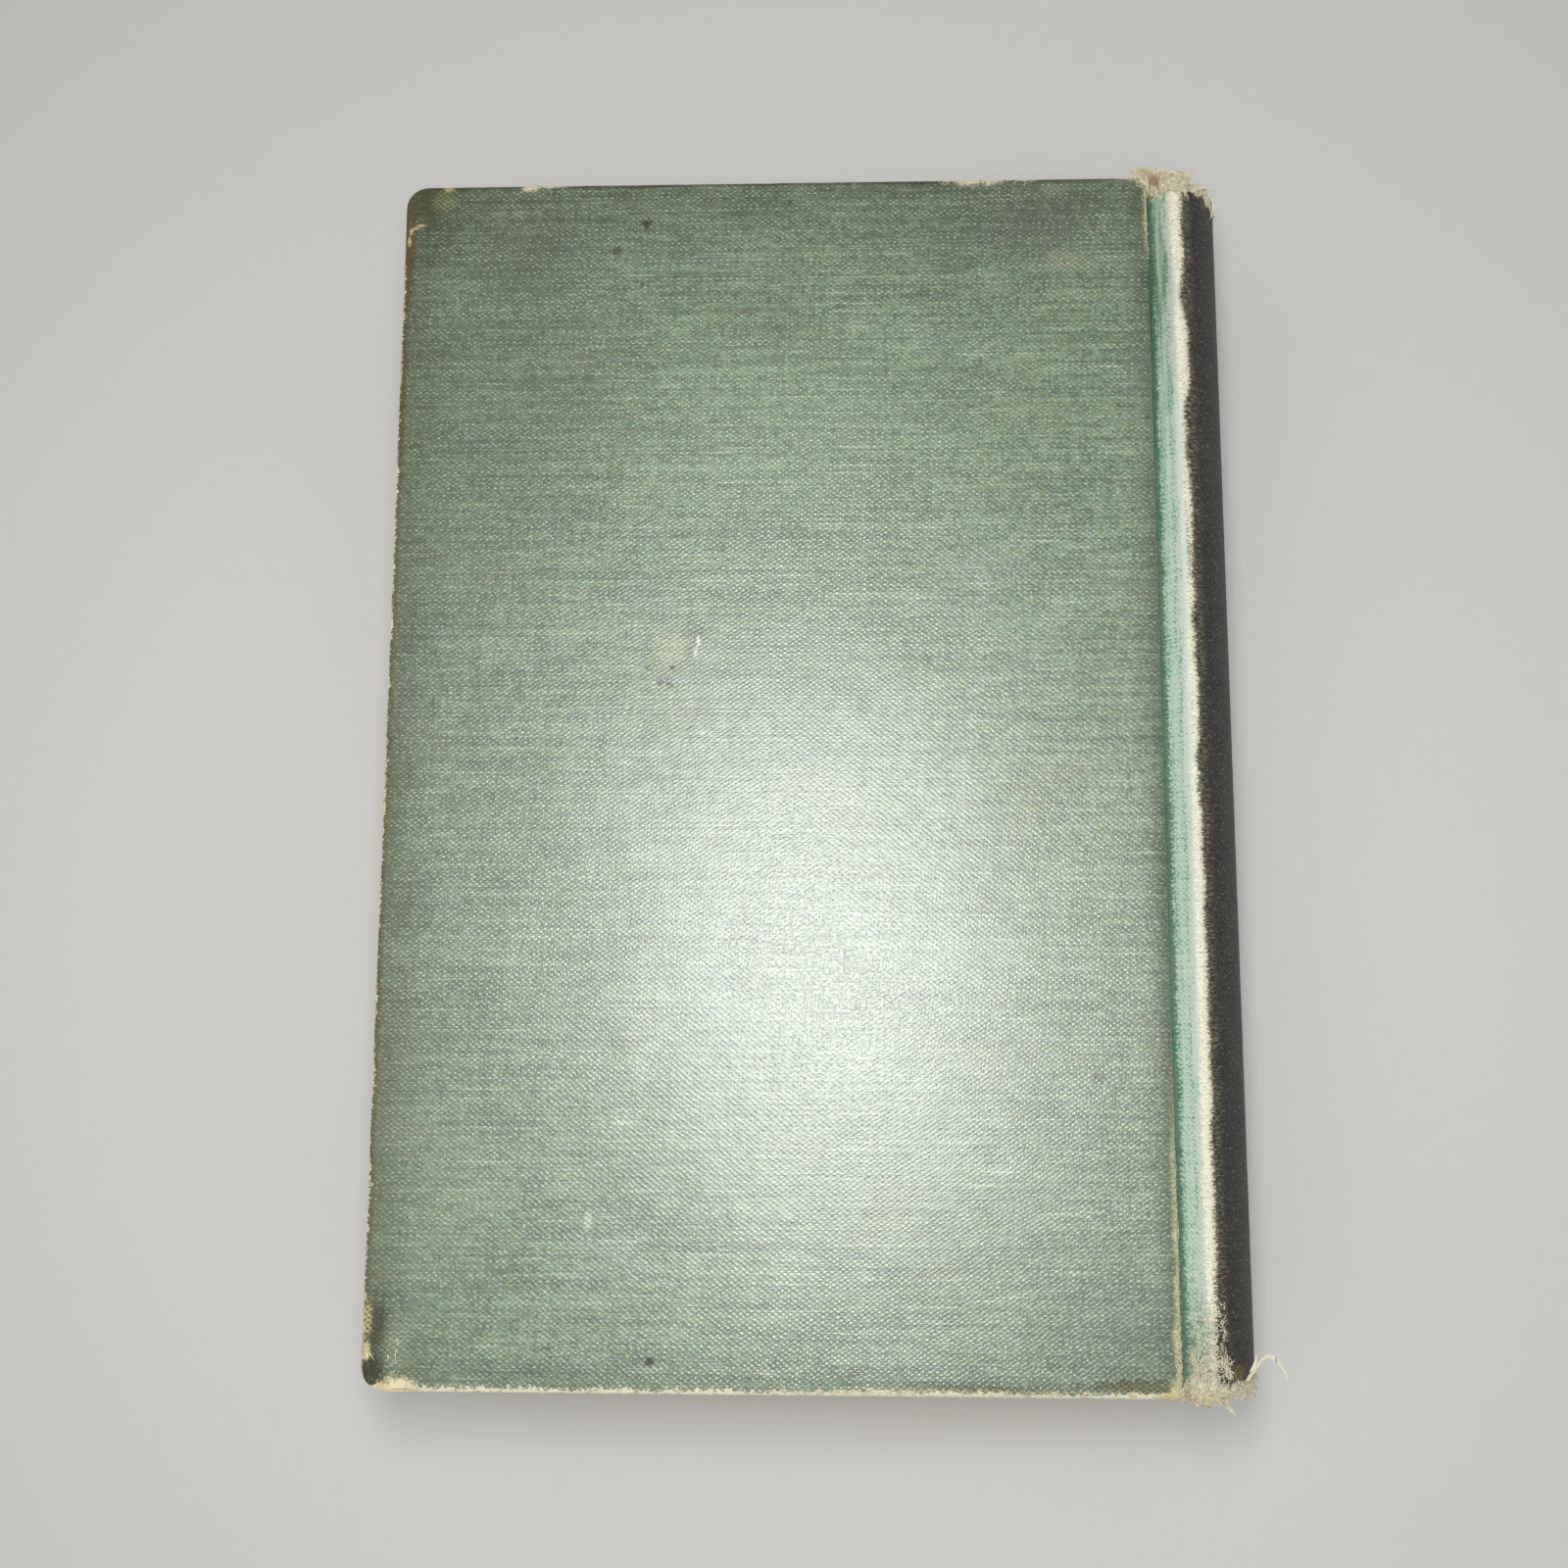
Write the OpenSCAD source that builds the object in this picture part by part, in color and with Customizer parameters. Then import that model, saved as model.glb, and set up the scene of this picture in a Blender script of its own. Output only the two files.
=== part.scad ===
// A worn clothbound hardback book, lying closed on its front cover.
// +X points at the spine, +Y at the head and +Z up. The origin lies under the middle of the closed book.
// Profiles are drawn in X and Z, with X from the boards' joint edge and Z from the middle of the pages.

/* [Boards] */
// Height of a covered board, from head to tail
cover_h = 192; // [150:1:260]
// Width of a covered board, from fore-edge to joint
cover_w = 122; // [90:1:180]
// Thickness of the bare board
board_t = 2.4; // [1.8:0.1:3.2]
// Radius to which wear has rounded the fore-edge corners
corner_r = 6; // [3:0.5:10]

/* [Cover cloth] */
// Thickness of the bookcloth
cloth_t = 0.4; // [0.3:0.05:0.5]
// Radius of the covered boards' edges
edge_r = 0.8; // [0.5:0.1:1.2]
// Width of the cloth turned in over the inside of a board
turn_in = 15; // [12:1:24]
// Width of the mitred seam in the turned-in cloth
mitre_w = 0.4; // [0.2:0.1:0.8]

/* [Text block] */
// Thickness of the pages pressed together
pages_t = 26.2; // [16:0.2:44]
// How far the boards stand past the pages at head, tail and fore-edge
square_w = 3; // [1.5:0.5:5]
// Number of sewn gatherings in the text block
gatherings = 22; // [10:1:36]
// Most that the trimmed edge of one gathering stands back from its neighbours
trim_step = 0.3; // [0.1:0.05:0.6]
// Depth of the hollow that rounding gives the fore-edge
fore_hollow = 4; // [1:0.5:7]
// Depth of the valleys between the folds on the back of the text block
fold_depth = 0.3; // [0.1:0.05:0.5]

/* [Endpapers] */
// Thickness of an endpaper leaf
leaf_t = 0.2; // [0.1:0.05:0.3]
// Room between a pastedown and the flyleaf that faces it
leaf_gap = 0.3; // [0.2:0.1:0.8]

/* [Spine] */
// Half of the angle that the rounded spine turns through
rounding = 51; // [42:1:58]
// Distance from a board's joint edge to the rounded spine, across the joint
joint_w = 5.7; // [5:0.1:9]
// How far the spine's edges lie below the outside of the boards
ridge_drop = 0.5; // [0.2:0.1:1]
// Radius of the ridge where the cloth comes up out of the joint
ridge_r = 1.5; // [1:0.1:1.8]
// Radius of the bend at the bottom of the joint
groove_r = 1; // [0.6:0.1:1.2]
// Width of the flat bottom of the joint
groove_flat = 0.6; // [0.3:0.1:1]
// Room between a board's joint edge and the cloth in the joint
joint_gap = 0.3; // [0.2:0.1:0.6]
// Room between the cloth in the joint and the gauze under it
seat_gap = 0.1; // [0.05:0.05:0.3]
// Thickness of the stiff card that shapes the spine
inlay_t = 0.6; // [0.4:0.1:1]
// How far the card stops short of the head and tail of the boards
inlay_short = 2.5; // [2:0.5:6]
// Room between the card and the lined back of the pages
hollow_gap = 0.3; // [0.2:0.1:1]
// Thickness of the paper lining on the back of the pages
lining_t = 0.3; // [0.2:0.05:0.5]
// How far the lining stops short of the head and tail of the pages
lining_short = 2; // [1:0.5:8]
// Thickness of the gauze that ties the pages to the boards
gauze_t = 0.3; // [0.2:0.05:0.35]
// Thickness of the film of glue between the layers of the spine
glue_t = 0.05; // [0.02:0.01:0.1]
// How far the gauze stops short of the turned-in cloth
gauze_margin = 4; // [2:0.5:12]
// Width of the gauze flange glued to a board
flange_w = 25; // [15:1:40]

/* [Wear] */
// Cloth lost from the middle of the spine's head and tail
end_loss = 0.6; // [0:0.1:2]
// Depth of the fraying at the spine's head and tail
fray_depth = 1; // [0.2:0.1:1.5]
// Number of frayed tufts across the spine
fray_tufts = 30; // [10:2:60]
// Radius of the patch worn through the back cloth at its tail corner
bare_r = 3; // [1:0.5:5]
// Distance of that patch from the fore-edge
bare_in = 5.4; // [4:0.2:20]

/* [Hidden] */
$fn = 64;

// Overshoot of a cutter past the face that it opens
slack = 1;
// Steps along the fold of one gathering, a bend in a joint and the rounded spine
fold_steps = 4;
bend_steps = 8;
spine_steps = 34;
// Seeds for the uneven trimming and fraying
trim_seed = 7;
head_seed = 11;
tail_seed = 23;

// Levels above the middle of the pages
paper_z = pages_t / 2;
turn_z = paper_z + leaf_t + leaf_gap + leaf_t;
board_z = turn_z + cloth_t;
skin_z = board_z + board_t;
book_t = 2 * (skin_z + cloth_t);

// Radii of the layers of the spine, each at its outside, about a centre at spine_x
spine_r = (book_t / 2 - ridge_drop) / sin(rounding);
spine_x = joint_w - spine_r * cos(rounding);
inlay_r = spine_r - cloth_t - glue_t;
lining_r = inlay_r - inlay_t - hollow_gap;
gauze_r = lining_r - lining_t - glue_t;
back_r = gauze_r - gauze_t - glue_t;
spine_c = [spine_x, 0];

// Heights and edges of the paper
pages_h = cover_h - 2 * square_w;
fore_x = square_w - cover_w;
gauze_h = cover_h - 2 * (turn_in + gauze_margin);
mid_x = (spine_x + spine_r - cover_w) / 2;

// Path of the cloth through a joint: flat bottom, bend, straight slope, then the ridge that the cover turns on
groove_z = paper_z + gauze_t + seat_gap + cloth_t / 2;
groove_c = [joint_gap + groove_flat, groove_z + groove_r];
ridge_c = spine_c + (spine_r - cloth_t / 2 - ridge_r) * [cos(rounding), sin(rounding)];
joint_run = ridge_c - groove_c;
slope_a = atan2(joint_run.y, joint_run.x) + asin((groove_r + ridge_r) / norm(joint_run));
slope_u = [cos(slope_a), sin(slope_a)];
slope_n = [-sin(slope_a), cos(slope_a)];
slope_low = groove_c - groove_r * slope_n;

// Shoulder of the text block, parallel to the cloth above it
shoulder_p = slope_low - (cloth_t / 2 + seat_gap + gauze_t) * slope_n;
shoulder_foot = shoulder_p + slope_u * (paper_z - shoulder_p.y) / slope_u.y;
shoulder_v = shoulder_p - spine_c;
shoulder_d = shoulder_v * slope_u;
shoulder_run = sqrt(pow(shoulder_d, 2) - shoulder_v * shoulder_v + pow(gauze_r - gauze_t, 2)) - shoulder_d;
shoulder_tip = shoulder_p + shoulder_run * slope_u;
shoulder_a = atan2(shoulder_tip.y, shoulder_tip.x - spine_x);

trims = rands(0, trim_step, 3 * gatherings, trim_seed);
head_fray = rands(0, fray_depth, fray_tufts + 1, head_seed);
tail_fray = rands(0, fray_depth, fray_tufts + 1, tail_seed);

function on_circle(c, r, a) = c + r * [cos(a), sin(a)];
function arc(c, r, a0, a1, steps) = [for (k = [0 : steps]) on_circle(c, r, a0 + (a1 - a0) * k / steps)];
function reversed(path) = [for (i = [len(path) - 1 : -1 : 0]) path[i]];
function flipped(path) = [for (p = reversed(path)) [p.x, -p.y]];
function page_z(j) = pages_t * (j / gatherings - 1 / 2);
function fore_edge(z) = fore_x + fore_hollow * (1 - pow(2 * z / pages_t, 2));
function fold_a(j) = shoulder_a * (2 * j / gatherings - 1);
function fold_r(t) = back_r - fold_depth * (1 - sin(180 * t));
function fold_point(j, t) = on_circle(spine_c, fold_r(t), fold_a(j + t));

// The cloth's line at a distance s outside its middle, through one joint and then from joint to joint
function joint_line(s) = concat(
    [[joint_gap, groove_z + s]],
    arc(groove_c, groove_r - s, -90, slope_a - 90, bend_steps),
    arc(ridge_c, ridge_r + s, slope_a + 90, rounding, bend_steps)
);
function back_line(s) = [
    for (k = [1 : spine_steps - 1])
        on_circle(spine_c, spine_r - cloth_t / 2 + s, rounding * (1 - 2 * k / spine_steps))
];
function cloth_line(s) = concat(joint_line(s), back_line(s), flipped(joint_line(s)));

// The gauze's inner and outer lines, from the bottom of one joint to that of the other
gauze_foot = [[joint_gap, paper_z], shoulder_foot];
gauze_top = [
    [joint_gap, paper_z + gauze_t],
    [shoulder_foot.x - gauze_t * tan(slope_a / 2), paper_z + gauze_t],
    shoulder_tip + gauze_t * slope_n
];
function gauze_line(start, r) = concat(
    start, arc(spine_c, r, shoulder_a, -shoulder_a, spine_steps), flipped(start)
);

function fray_z(i) = book_t * (i / fray_tufts - 1 / 2);
function fray_y(i, tufts) = cover_h / 2 - tufts[i] - end_loss * (1 - pow(2 * i / fray_tufts - 1, 2));

// From the profile's axes to the book's own frame
module placed() translate([-mid_x, 0, book_t / 2]) children();
module at_front() mirror([0, 0, 1]) children();
module both_ends() {
    children();
    mirror([0, 1, 0]) children();
}

// A profile in X and Z run along the book's height, and one in Y and Z run along its width
module along_height(h) rotate([90, 0, 0]) linear_extrude(h, center = true) children();
module along_width(x0, x1) translate([x0, 0, 0]) rotate([90, 0, 90]) linear_extrude(x1 - x0) children();

// A plate between two X values, centred on the height
module sheet(x0, x1, h, z, t) translate([x0, -h / 2, z]) cube([x1 - x0, h, t]);

// Part of a ring, with its outside at r
module arc_band(c, r, t, a0, a1) translate(c) intersection() {
    difference() {
        circle(r);
        circle(r - t);
    }
    polygon([[0, 0], for (a = [a0, (a0 + a1) / 2, a1]) 2 * r * [cos(a), sin(a)]]);
}

// What a rounded edge leaves of its square corner, which points along sx and sz
module edge_waste(x, z, sx, sz) translate([x - sx * edge_r, z - sz * edge_r]) difference() {
    mirror([sx < 0 ? 1 : 0, 0]) mirror([0, sz < 0 ? 1 : 0]) square(edge_r + slack);
    circle(edge_r);
}

// Section of a covered board's rim, w wide, with both outer edges rounded
module rim(w) difference() {
    translate([0, turn_z]) square([w, book_t / 2 - turn_z]);
    edge_waste(w, book_t / 2, 1, 1);
    edge_waste(w, turn_z, 1, -1);
}

// The covered board's outside, with worn round corners at the fore-edge
module covered_plate() difference() {
    union() {
        along_height(cover_h - 2 * corner_r) mirror([1, 0]) rim(cover_w);
        both_ends() {
            along_width(corner_r - cover_w, 0) translate([cover_h / 2 - corner_r, 0]) rim(corner_r);
            translate([corner_r - cover_w, cover_h / 2 - corner_r, 0])
                rotate(90) rotate_extrude(angle = 90) rim(corner_r);
        }
    }
    along_height(cover_h + 2 * slack) edge_waste(0, book_t / 2, 1, 1);
}

module board_blank() translate([0, 0, board_z]) linear_extrude(board_t) {
    core_w = cover_w - corner_r - cloth_t;
    core_h = cover_h - 2 * cloth_t;
    translate([corner_r - cover_w, -core_h / 2]) square([core_w, core_h]);
    translate([cloth_t - cover_w, corner_r - cover_h / 2]) square([corner_r - cloth_t, cover_h - 2 * corner_r]);
    for (s = [-1, 1]) translate([corner_r - cover_w, s * (cover_h / 2 - corner_r)]) circle(corner_r - cloth_t);
}

// Cloth wrapped round a board on all four edges, turned in on three and mitred at the corners
module cover_cloth() difference() {
    covered_plate();
    board_blank();
    sheet(turn_in - cover_w, -cloth_t, cover_h - 2 * turn_in, turn_z - slack, cloth_t + slack);
    both_ends() translate([turn_in - cover_w, cover_h / 2 - turn_in, turn_z - slack]) rotate(135)
        translate([-mitre_w, -mitre_w / 2, 0])
            cube([(turn_in - corner_r) * sqrt(2) + mitre_w, mitre_w, cloth_t + slack]);
}

// Gauze on a board, from the joint inwards
module gauze_flange() sheet(-flange_w, -2 * cloth_t, gauze_h, board_z - gauze_t, gauze_t);

// Paper pasted over the turned-in cloth, the gauze and the board, following their steps
module pastedown() {
    window_x = turn_in - cover_w;
    window_h = cover_h - 2 * turn_in;
    inner_z = turn_z - leaf_t;
    difference() {
        sheet(fore_x, -2 * cloth_t, pages_h, inner_z, board_z - inner_z);
        difference() {
            sheet(fore_x - slack, 0, pages_h + 2 * slack, turn_z, cloth_t + slack);
            sheet(window_x, 0, window_h, turn_z - slack, cloth_t + 2 * slack + cloth_t);
        }
        sheet(-flange_w, 0, gauze_h, board_z - gauze_t, gauze_t + slack);
        sheet(-flange_w - leaf_t, 0, gauze_h + 2 * leaf_t, inner_z - slack, cloth_t - gauze_t + slack);
        difference() {
            sheet(window_x + leaf_t, 0, window_h - 2 * leaf_t, inner_z - slack, cloth_t + slack);
            sheet(-flange_w - leaf_t, slack, gauze_h + 2 * leaf_t, inner_z - 2 * slack, cloth_t + 3 * slack);
        }
    }
}

module flyleaf() sheet(fore_x, 0, pages_h, paper_z, leaf_t);

// One sewn gathering: flat leaves that turn out towards the shoulder and end in a round fold
module gathering(i) {
    head = pages_h / 2 - trims[3 * i];
    tail = trims[3 * i + 1] - pages_h / 2;
    inset = trims[3 * i + 2];
    translate([0, head, 0]) rotate([90, 0, 0]) linear_extrude(head - tail) polygon([
        [fore_edge(page_z(i)) + inset, page_z(i)],
        [shoulder_foot.x, page_z(i)],
        for (k = [0 : fold_steps]) fold_point(i, k / fold_steps),
        [shoulder_foot.x, page_z(i + 1)],
        [fore_edge(page_z(i + 1)) + inset, page_z(i + 1)]
    ]);
}

// Everything between the frayed head and the frayed tail
module frayed_length() along_width(0, spine_x + spine_r + slack) polygon([
    for (i = [0 : fray_tufts]) [fray_y(i, head_fray), fray_z(i)],
    for (i = [fray_tufts : -1 : 0]) [-fray_y(i, tail_fray), fray_z(i)]
]);

module text_block() color("wheat") placed() union() {
    for (i = [0 : gatherings - 1]) gathering(i);
}

module back_flyleaf() color("antiquewhite") placed() flyleaf();

module front_flyleaf() color("antiquewhite") placed() at_front() flyleaf();

module spine_gauze() color("linen") placed() along_height(gauze_h)
    polygon(concat(gauze_line(gauze_foot, gauze_r - gauze_t), reversed(gauze_line(gauze_top, gauze_r))));

module spine_lining() color("burlywood") placed() along_height(pages_h - 2 * lining_short)
    arc_band(spine_c, lining_r, lining_t, -rounding, rounding);

module spine_inlay() color("tan") placed() along_height(cover_h - 2 * inlay_short)
    arc_band(spine_c, inlay_r, inlay_t, -rounding, rounding);

module spine_cloth() color("darkolivegreen") placed() intersection() {
    along_height(cover_h) polygon(concat(cloth_line(-cloth_t / 2), reversed(cloth_line(cloth_t / 2))));
    frayed_length();
}

module back_board() color("peru") placed() board_blank();

module back_cloth() color("darkseagreen") placed() difference() {
    cover_cloth();
    translate([bare_in - cover_w, -cover_h / 2, skin_z - edge_r]) cylinder(r = bare_r, h = edge_r + cloth_t + slack);
}

module back_gauze_flange() color("linen") placed() gauze_flange();

module back_pastedown() color("antiquewhite") placed() pastedown();

module front_board() color("peru") placed() at_front() board_blank();

module front_cloth() color("darkseagreen") placed() at_front() cover_cloth();

module front_gauze_flange() color("linen") placed() at_front() gauze_flange();

module front_pastedown() color("antiquewhite") placed() at_front() pastedown();

text_block();
back_flyleaf();
front_flyleaf();
spine_gauze();
spine_lining();
spine_inlay();
spine_cloth();
back_board();
back_cloth();
back_gauze_flange();
back_pastedown();
front_board();
front_cloth();
front_gauze_flange();
front_pastedown();
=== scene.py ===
import math
import random

import bmesh
import bpy
from bpy.props import FloatProperty, FloatVectorProperty, IntProperty, PointerProperty
from mathutils import Euler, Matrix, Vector, noise


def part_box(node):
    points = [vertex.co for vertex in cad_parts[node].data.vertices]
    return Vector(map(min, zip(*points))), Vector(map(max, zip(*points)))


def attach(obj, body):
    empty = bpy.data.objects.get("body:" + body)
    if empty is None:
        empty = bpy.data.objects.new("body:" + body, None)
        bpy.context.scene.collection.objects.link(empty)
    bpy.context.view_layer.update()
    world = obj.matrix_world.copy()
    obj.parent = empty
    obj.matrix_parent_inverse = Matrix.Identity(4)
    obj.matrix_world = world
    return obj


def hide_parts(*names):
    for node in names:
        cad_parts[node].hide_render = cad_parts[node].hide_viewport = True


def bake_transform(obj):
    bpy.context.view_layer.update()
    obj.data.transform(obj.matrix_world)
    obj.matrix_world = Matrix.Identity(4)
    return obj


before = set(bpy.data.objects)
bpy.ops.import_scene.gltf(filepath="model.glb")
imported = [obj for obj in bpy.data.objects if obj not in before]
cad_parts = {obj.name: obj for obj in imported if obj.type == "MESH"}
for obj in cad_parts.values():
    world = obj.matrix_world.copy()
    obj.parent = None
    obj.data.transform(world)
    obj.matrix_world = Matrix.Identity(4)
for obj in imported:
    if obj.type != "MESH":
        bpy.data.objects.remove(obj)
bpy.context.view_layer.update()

bl_info = {
    "name": "Worn clothbound book",
    "version": (1, 0, 0),
    "blender": (4, 5, 0),
    "location": "View3D > Sidebar > Book",
    "description": "Dresses a hinged hardback book in worn bookcloth, paper and frayed thread",
    "category": "Add Mesh",
}

MM = 0.001
HALF_TURN = math.pi
CUT_EDGE = math.radians(55)


def box_mm(node):
    """Lowest and highest corner of a CAD node, in millimetres."""
    return tuple(tuple(value / MM for value in corner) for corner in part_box(node))


# The case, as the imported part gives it. Shapes below are worked out in millimetres.
SKIN_LOW, SKIN_HIGH = box_mm("back_cloth")
FORE_X, TAIL_Y, TURN_Z = SKIN_LOW
JOINT_X, HEAD_Y, BOOK_T = SKIN_HIGH
MID_Z = BOOK_T / 2
SKIN_T = BOOK_T - TURN_Z
LEAF_LOW, LEAF_HIGH = box_mm("back_flyleaf")
PAPER_Z = LEAF_LOW[2] - MID_Z
LEAF_T = LEAF_HIGH[2] - LEAF_LOW[2]
PAGES_Y = LEAF_HIGH[1]
PAGES_X = LEAF_LOW[0]


def linear(code):
    """Linear RGBA of an sRGB hex value."""
    parts = [int(code[i:i + 2], 16) / 255 for i in (1, 3, 5)]
    flat = [c / 12.92 if c <= 0.04045 else ((c + 0.055) / 1.055) ** 2.4 for c in parts]
    return (*flat, 1.0)


def length_prop(name, description, millimetres):
    """A length in the scene's unit, with its default given in millimetres."""
    return FloatProperty(
        name=name, description=description, default=millimetres * MM, min=0.0, precision=4, unit="LENGTH"
    )


def count_prop(name, description, default, least=0):
    """A whole number."""
    return IntProperty(name=name, description=description, default=default, min=least)


def colour_prop(name, description, code):
    """A colour, with its default given as an sRGB hex value."""
    return FloatVectorProperty(
        name=name, description=description, default=linear(code), size=4, min=0.0, max=1.0, subtype="COLOR"
    )


class BookSizes(bpy.types.PropertyGroup):
    """Sizes of the case and the paper."""

    cloth_t: length_prop("Cloth thickness", "Thickness of the bookcloth", 0.4)
    edge_r: length_prop("Edge radius", "Radius of the covered boards' edges", 0.8)
    corner_r: length_prop("Corner radius", "Radius to which wear has rounded the fore-edge corners", 3.8)
    turn_in: length_prop("Turn-in", "Width of cloth turned in over the inside of a board", 15)
    rounding: FloatProperty(
        name="Rounding", description="Half of the angle that the spine turns through",
        default=math.radians(51), subtype="ANGLE",
    )
    joint_w: length_prop("Joint width", "From a board's joint edge to the spine", 5.7)
    ridge_drop: length_prop("Ridge drop", "How far the spine's edges lie below the boards' outside", 0.5)
    ridge_r: length_prop("Ridge radius", "Radius of the ridge between joint and spine", 1.5)
    groove_r: length_prop("Groove radius", "Radius of the bend at the bottom of the joint", 1)
    groove_flat: length_prop("Groove flat", "Width of the flat bottom of the joint", 0.6)
    joint_gap: length_prop("Joint gap", "Room between the board's edge and the joint's flat", 0.3)
    gauze_t: length_prop("Gauze thickness", "Thickness of the gauze under the joint", 0.3)
    seat_gap: length_prop("Seat gap", "Room between the joint's cloth and the gauze", 0.1)
    back_in: length_prop("Layers of the spine", "From the cloth's outside to the folds of the pages", 2.05)
    hollow: length_prop("Fore-edge hollow", "Depth of the hollow that rounding gives the fore-edge", 4)
    gatherings: count_prop("Gatherings", "Sewn gatherings in the text block", 22, 1)


class BookWear(bpy.types.PropertyGroup):
    """How worn the book is."""

    edge_loss: length_prop("Edge loss", "How far worn edges stand back", 0.25)
    end_loss: length_prop("End loss", "Cloth lost from the spine's head and tail", 1.2)
    bare_r: length_prop("Bare patch", "Radius of the patch worn through to the board", 3.0)
    ridge_fibres: count_prop("Ridge fibres", "Loose threads on one ridge", 800)
    end_mat: count_prop("End mat", "Clumps of thread on one end of the spine", 60)
    thread_r: length_prop("Thread radius", "Radius of a frayed thread", 0.075)
    seed: count_prop("Seed", "Seed of the fraying", 5)


class BookColours(bpy.types.PropertyGroup):
    """Colours of the finishes."""

    cloth_gap: colour_prop("Cloth, gaps", "Sage dye between the thread tops", "#45623d")
    cloth_thread: colour_prop("Cloth, threads", "Rubbed tops of the threads", "#90ad85")
    cloth_deep: colour_prop("Cloth, deep", "Streaks where the dye is full", "#456147")
    cloth_dot: colour_prop("Cloth, dots", "Most rubbed crossings of the threads", "#c4d4b6")
    cloth_slub: colour_prop("Cloth, slubs", "Thick pale threads", "#d5dec5")
    cloth_olive: colour_prop("Cloth, olive", "Clouds where the dye has yellowed", "#7e8259")
    cloth_grey: colour_prop("Cloth, grey", "Clouds where the dye has greyed", "#7f948c")
    joint_gap: colour_prop("Joint, gaps", "Clean green dye in the joint", "#74b48a")
    joint_thread: colour_prop("Joint, threads", "Bright threads in the joint", "#dff6e4")
    spine_gap: colour_prop("Spine, gaps", "Blackened cloth of the spine", "#1b1c18")
    spine_thread: colour_prop("Spine, threads", "Thread tops of the spine", "#454640")
    spine_brown: colour_prop("Spine, brown", "Handled cloth beside the ridge", "#403b30")
    worn: colour_prop("Worn thread", "Undyed cotton where the cloth is worn", "#fff9dc")
    tan: colour_prop("Tan", "Soiled undyed cotton", "#c9ad7c")
    thread_clean: colour_prop("Loose thread, clean", "Clean loose threads", "#fffce2")
    # Dark loose threads: soil, and painted shade among the threads.
    thread_soiled_and_shaded: colour_prop("Loose thread, soiled", "Loose threads brown with soil", "#80693a")
    soil: colour_prop("Soil", "Hand soil along the edges", "#3d3a20")
    brown: colour_prop("Brown", "Dark line of soil right on the edges", "#3a2b12")
    board: colour_prop("Board", "Straw board under the cloth", "#dcc08a")
    pages: colour_prop("Pages", "Edges of the pages", "#d8c8a0")
    toned: colour_prop("Toned paper", "Paper browned by age", "#b0935f")
    endpaper: colour_prop("Endpaper", "Plain endpapers", "#ddd0b1")
    gauze: colour_prop("Gauze", "Starched cotton gauze", "#d8cdb0")
    lining: colour_prop("Lining", "Brown lining paper", "#8c7150")
    card: colour_prop("Card", "Grey spine card", "#9d937e")
    floor: colour_prop("Floor", "Plain pale floor", "#e6e5e2")


class BookStage(bpy.types.PropertyGroup):
    """Light and camera."""

    lens: FloatProperty(
        name="Lens", description="Focal length on a 36 mm sensor", default=40.5, subtype="DISTANCE_CAMERA"
    )
    key_power: FloatProperty(
        name="Key light", description="Power of the soft light above", default=0.57, unit="POWER"
    )
    key_size: length_prop("Key width", "Width of the soft light", 80)
    key_length: length_prop("Key length", "Length of the soft light, along the book's height", 180)
    sky: FloatProperty(name="Sky", description="Strength of the even light all round", default=0.4)


def spread(start, end, count):
    """Positions from start to end, in count even steps."""
    return [start + (end - start) * i / count for i in range(count + 1)]


def steps(start, end, size):
    """Even positions from start to end, about size apart."""
    return spread(start, end, max(1, round(abs(end - start) / size)))


def fade(value, low, high):
    """Smooth rise from 0 at low to 1 at high."""
    t = min(max((value - low) / (high - low), 0.0), 1.0)
    return t * t * (3 - 2 * t)


def grain(x, y, size, seed):
    """Smooth noise from -1 to 1, with features about size across."""
    return noise.noise(Vector((x / size, y / size, seed * 7.31)))


def on_circle(centre, radius, angle):
    """Point on a circle."""
    return (centre[0] + radius * math.cos(angle), centre[1] + radius * math.sin(angle))


def arc(centre, radius, start, end, count):
    """Points on a circle from one angle to another, in count even steps."""
    return [on_circle(centre, radius, angle) for angle in spread(start, end, count)]


def new_piece(name, points, faces, materials, face_slots=(), fields=None, flat_map=None, crisp=False):
    """A mesh object from points in millimetres. fields gives a vector for each point, by attribute name.
    crisp keeps its cut edges sharp."""
    mesh = bpy.data.meshes.new(name)
    mesh.from_pydata([Vector(p) * MM for p in points], [], faces)
    for key, values in (fields or {}).items():
        layer = mesh.attributes.new(key, "FLOAT_VECTOR", "POINT")
        layer.data.foreach_set("vector", [part * MM for value in values for part in value])
    if flat_map:
        low = [min(p[i] for p in flat_map) for i in (0, 1)]
        span = max(max(p[i] for p in flat_map) - low[i] for i in (0, 1))
        layer = mesh.uv_layers.new(name="OFBake")
        for loop in mesh.loops:
            spot = flat_map[loop.vertex_index]
            layer.uv[loop.index].vector = [(spot[i] - low[i]) / span for i in (0, 1)]
    for material in materials:
        mesh.materials.append(material)
    if face_slots:
        mesh.polygons.foreach_set("material_index", face_slots)
    bm = bmesh.new()
    bm.from_mesh(mesh)
    bmesh.ops.remove_doubles(bm, verts=bm.verts, dist=1e-7)
    bmesh.ops.dissolve_degenerate(bm, edges=bm.edges, dist=1e-7)
    bm.to_mesh(mesh)
    bm.free()
    mesh.shade_smooth()
    if crisp:
        mesh.set_sharp_from_angle(angle=CUT_EDGE)
    piece = bpy.data.objects.new(name, mesh)
    bpy.context.scene.collection.objects.link(piece)
    return piece


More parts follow.
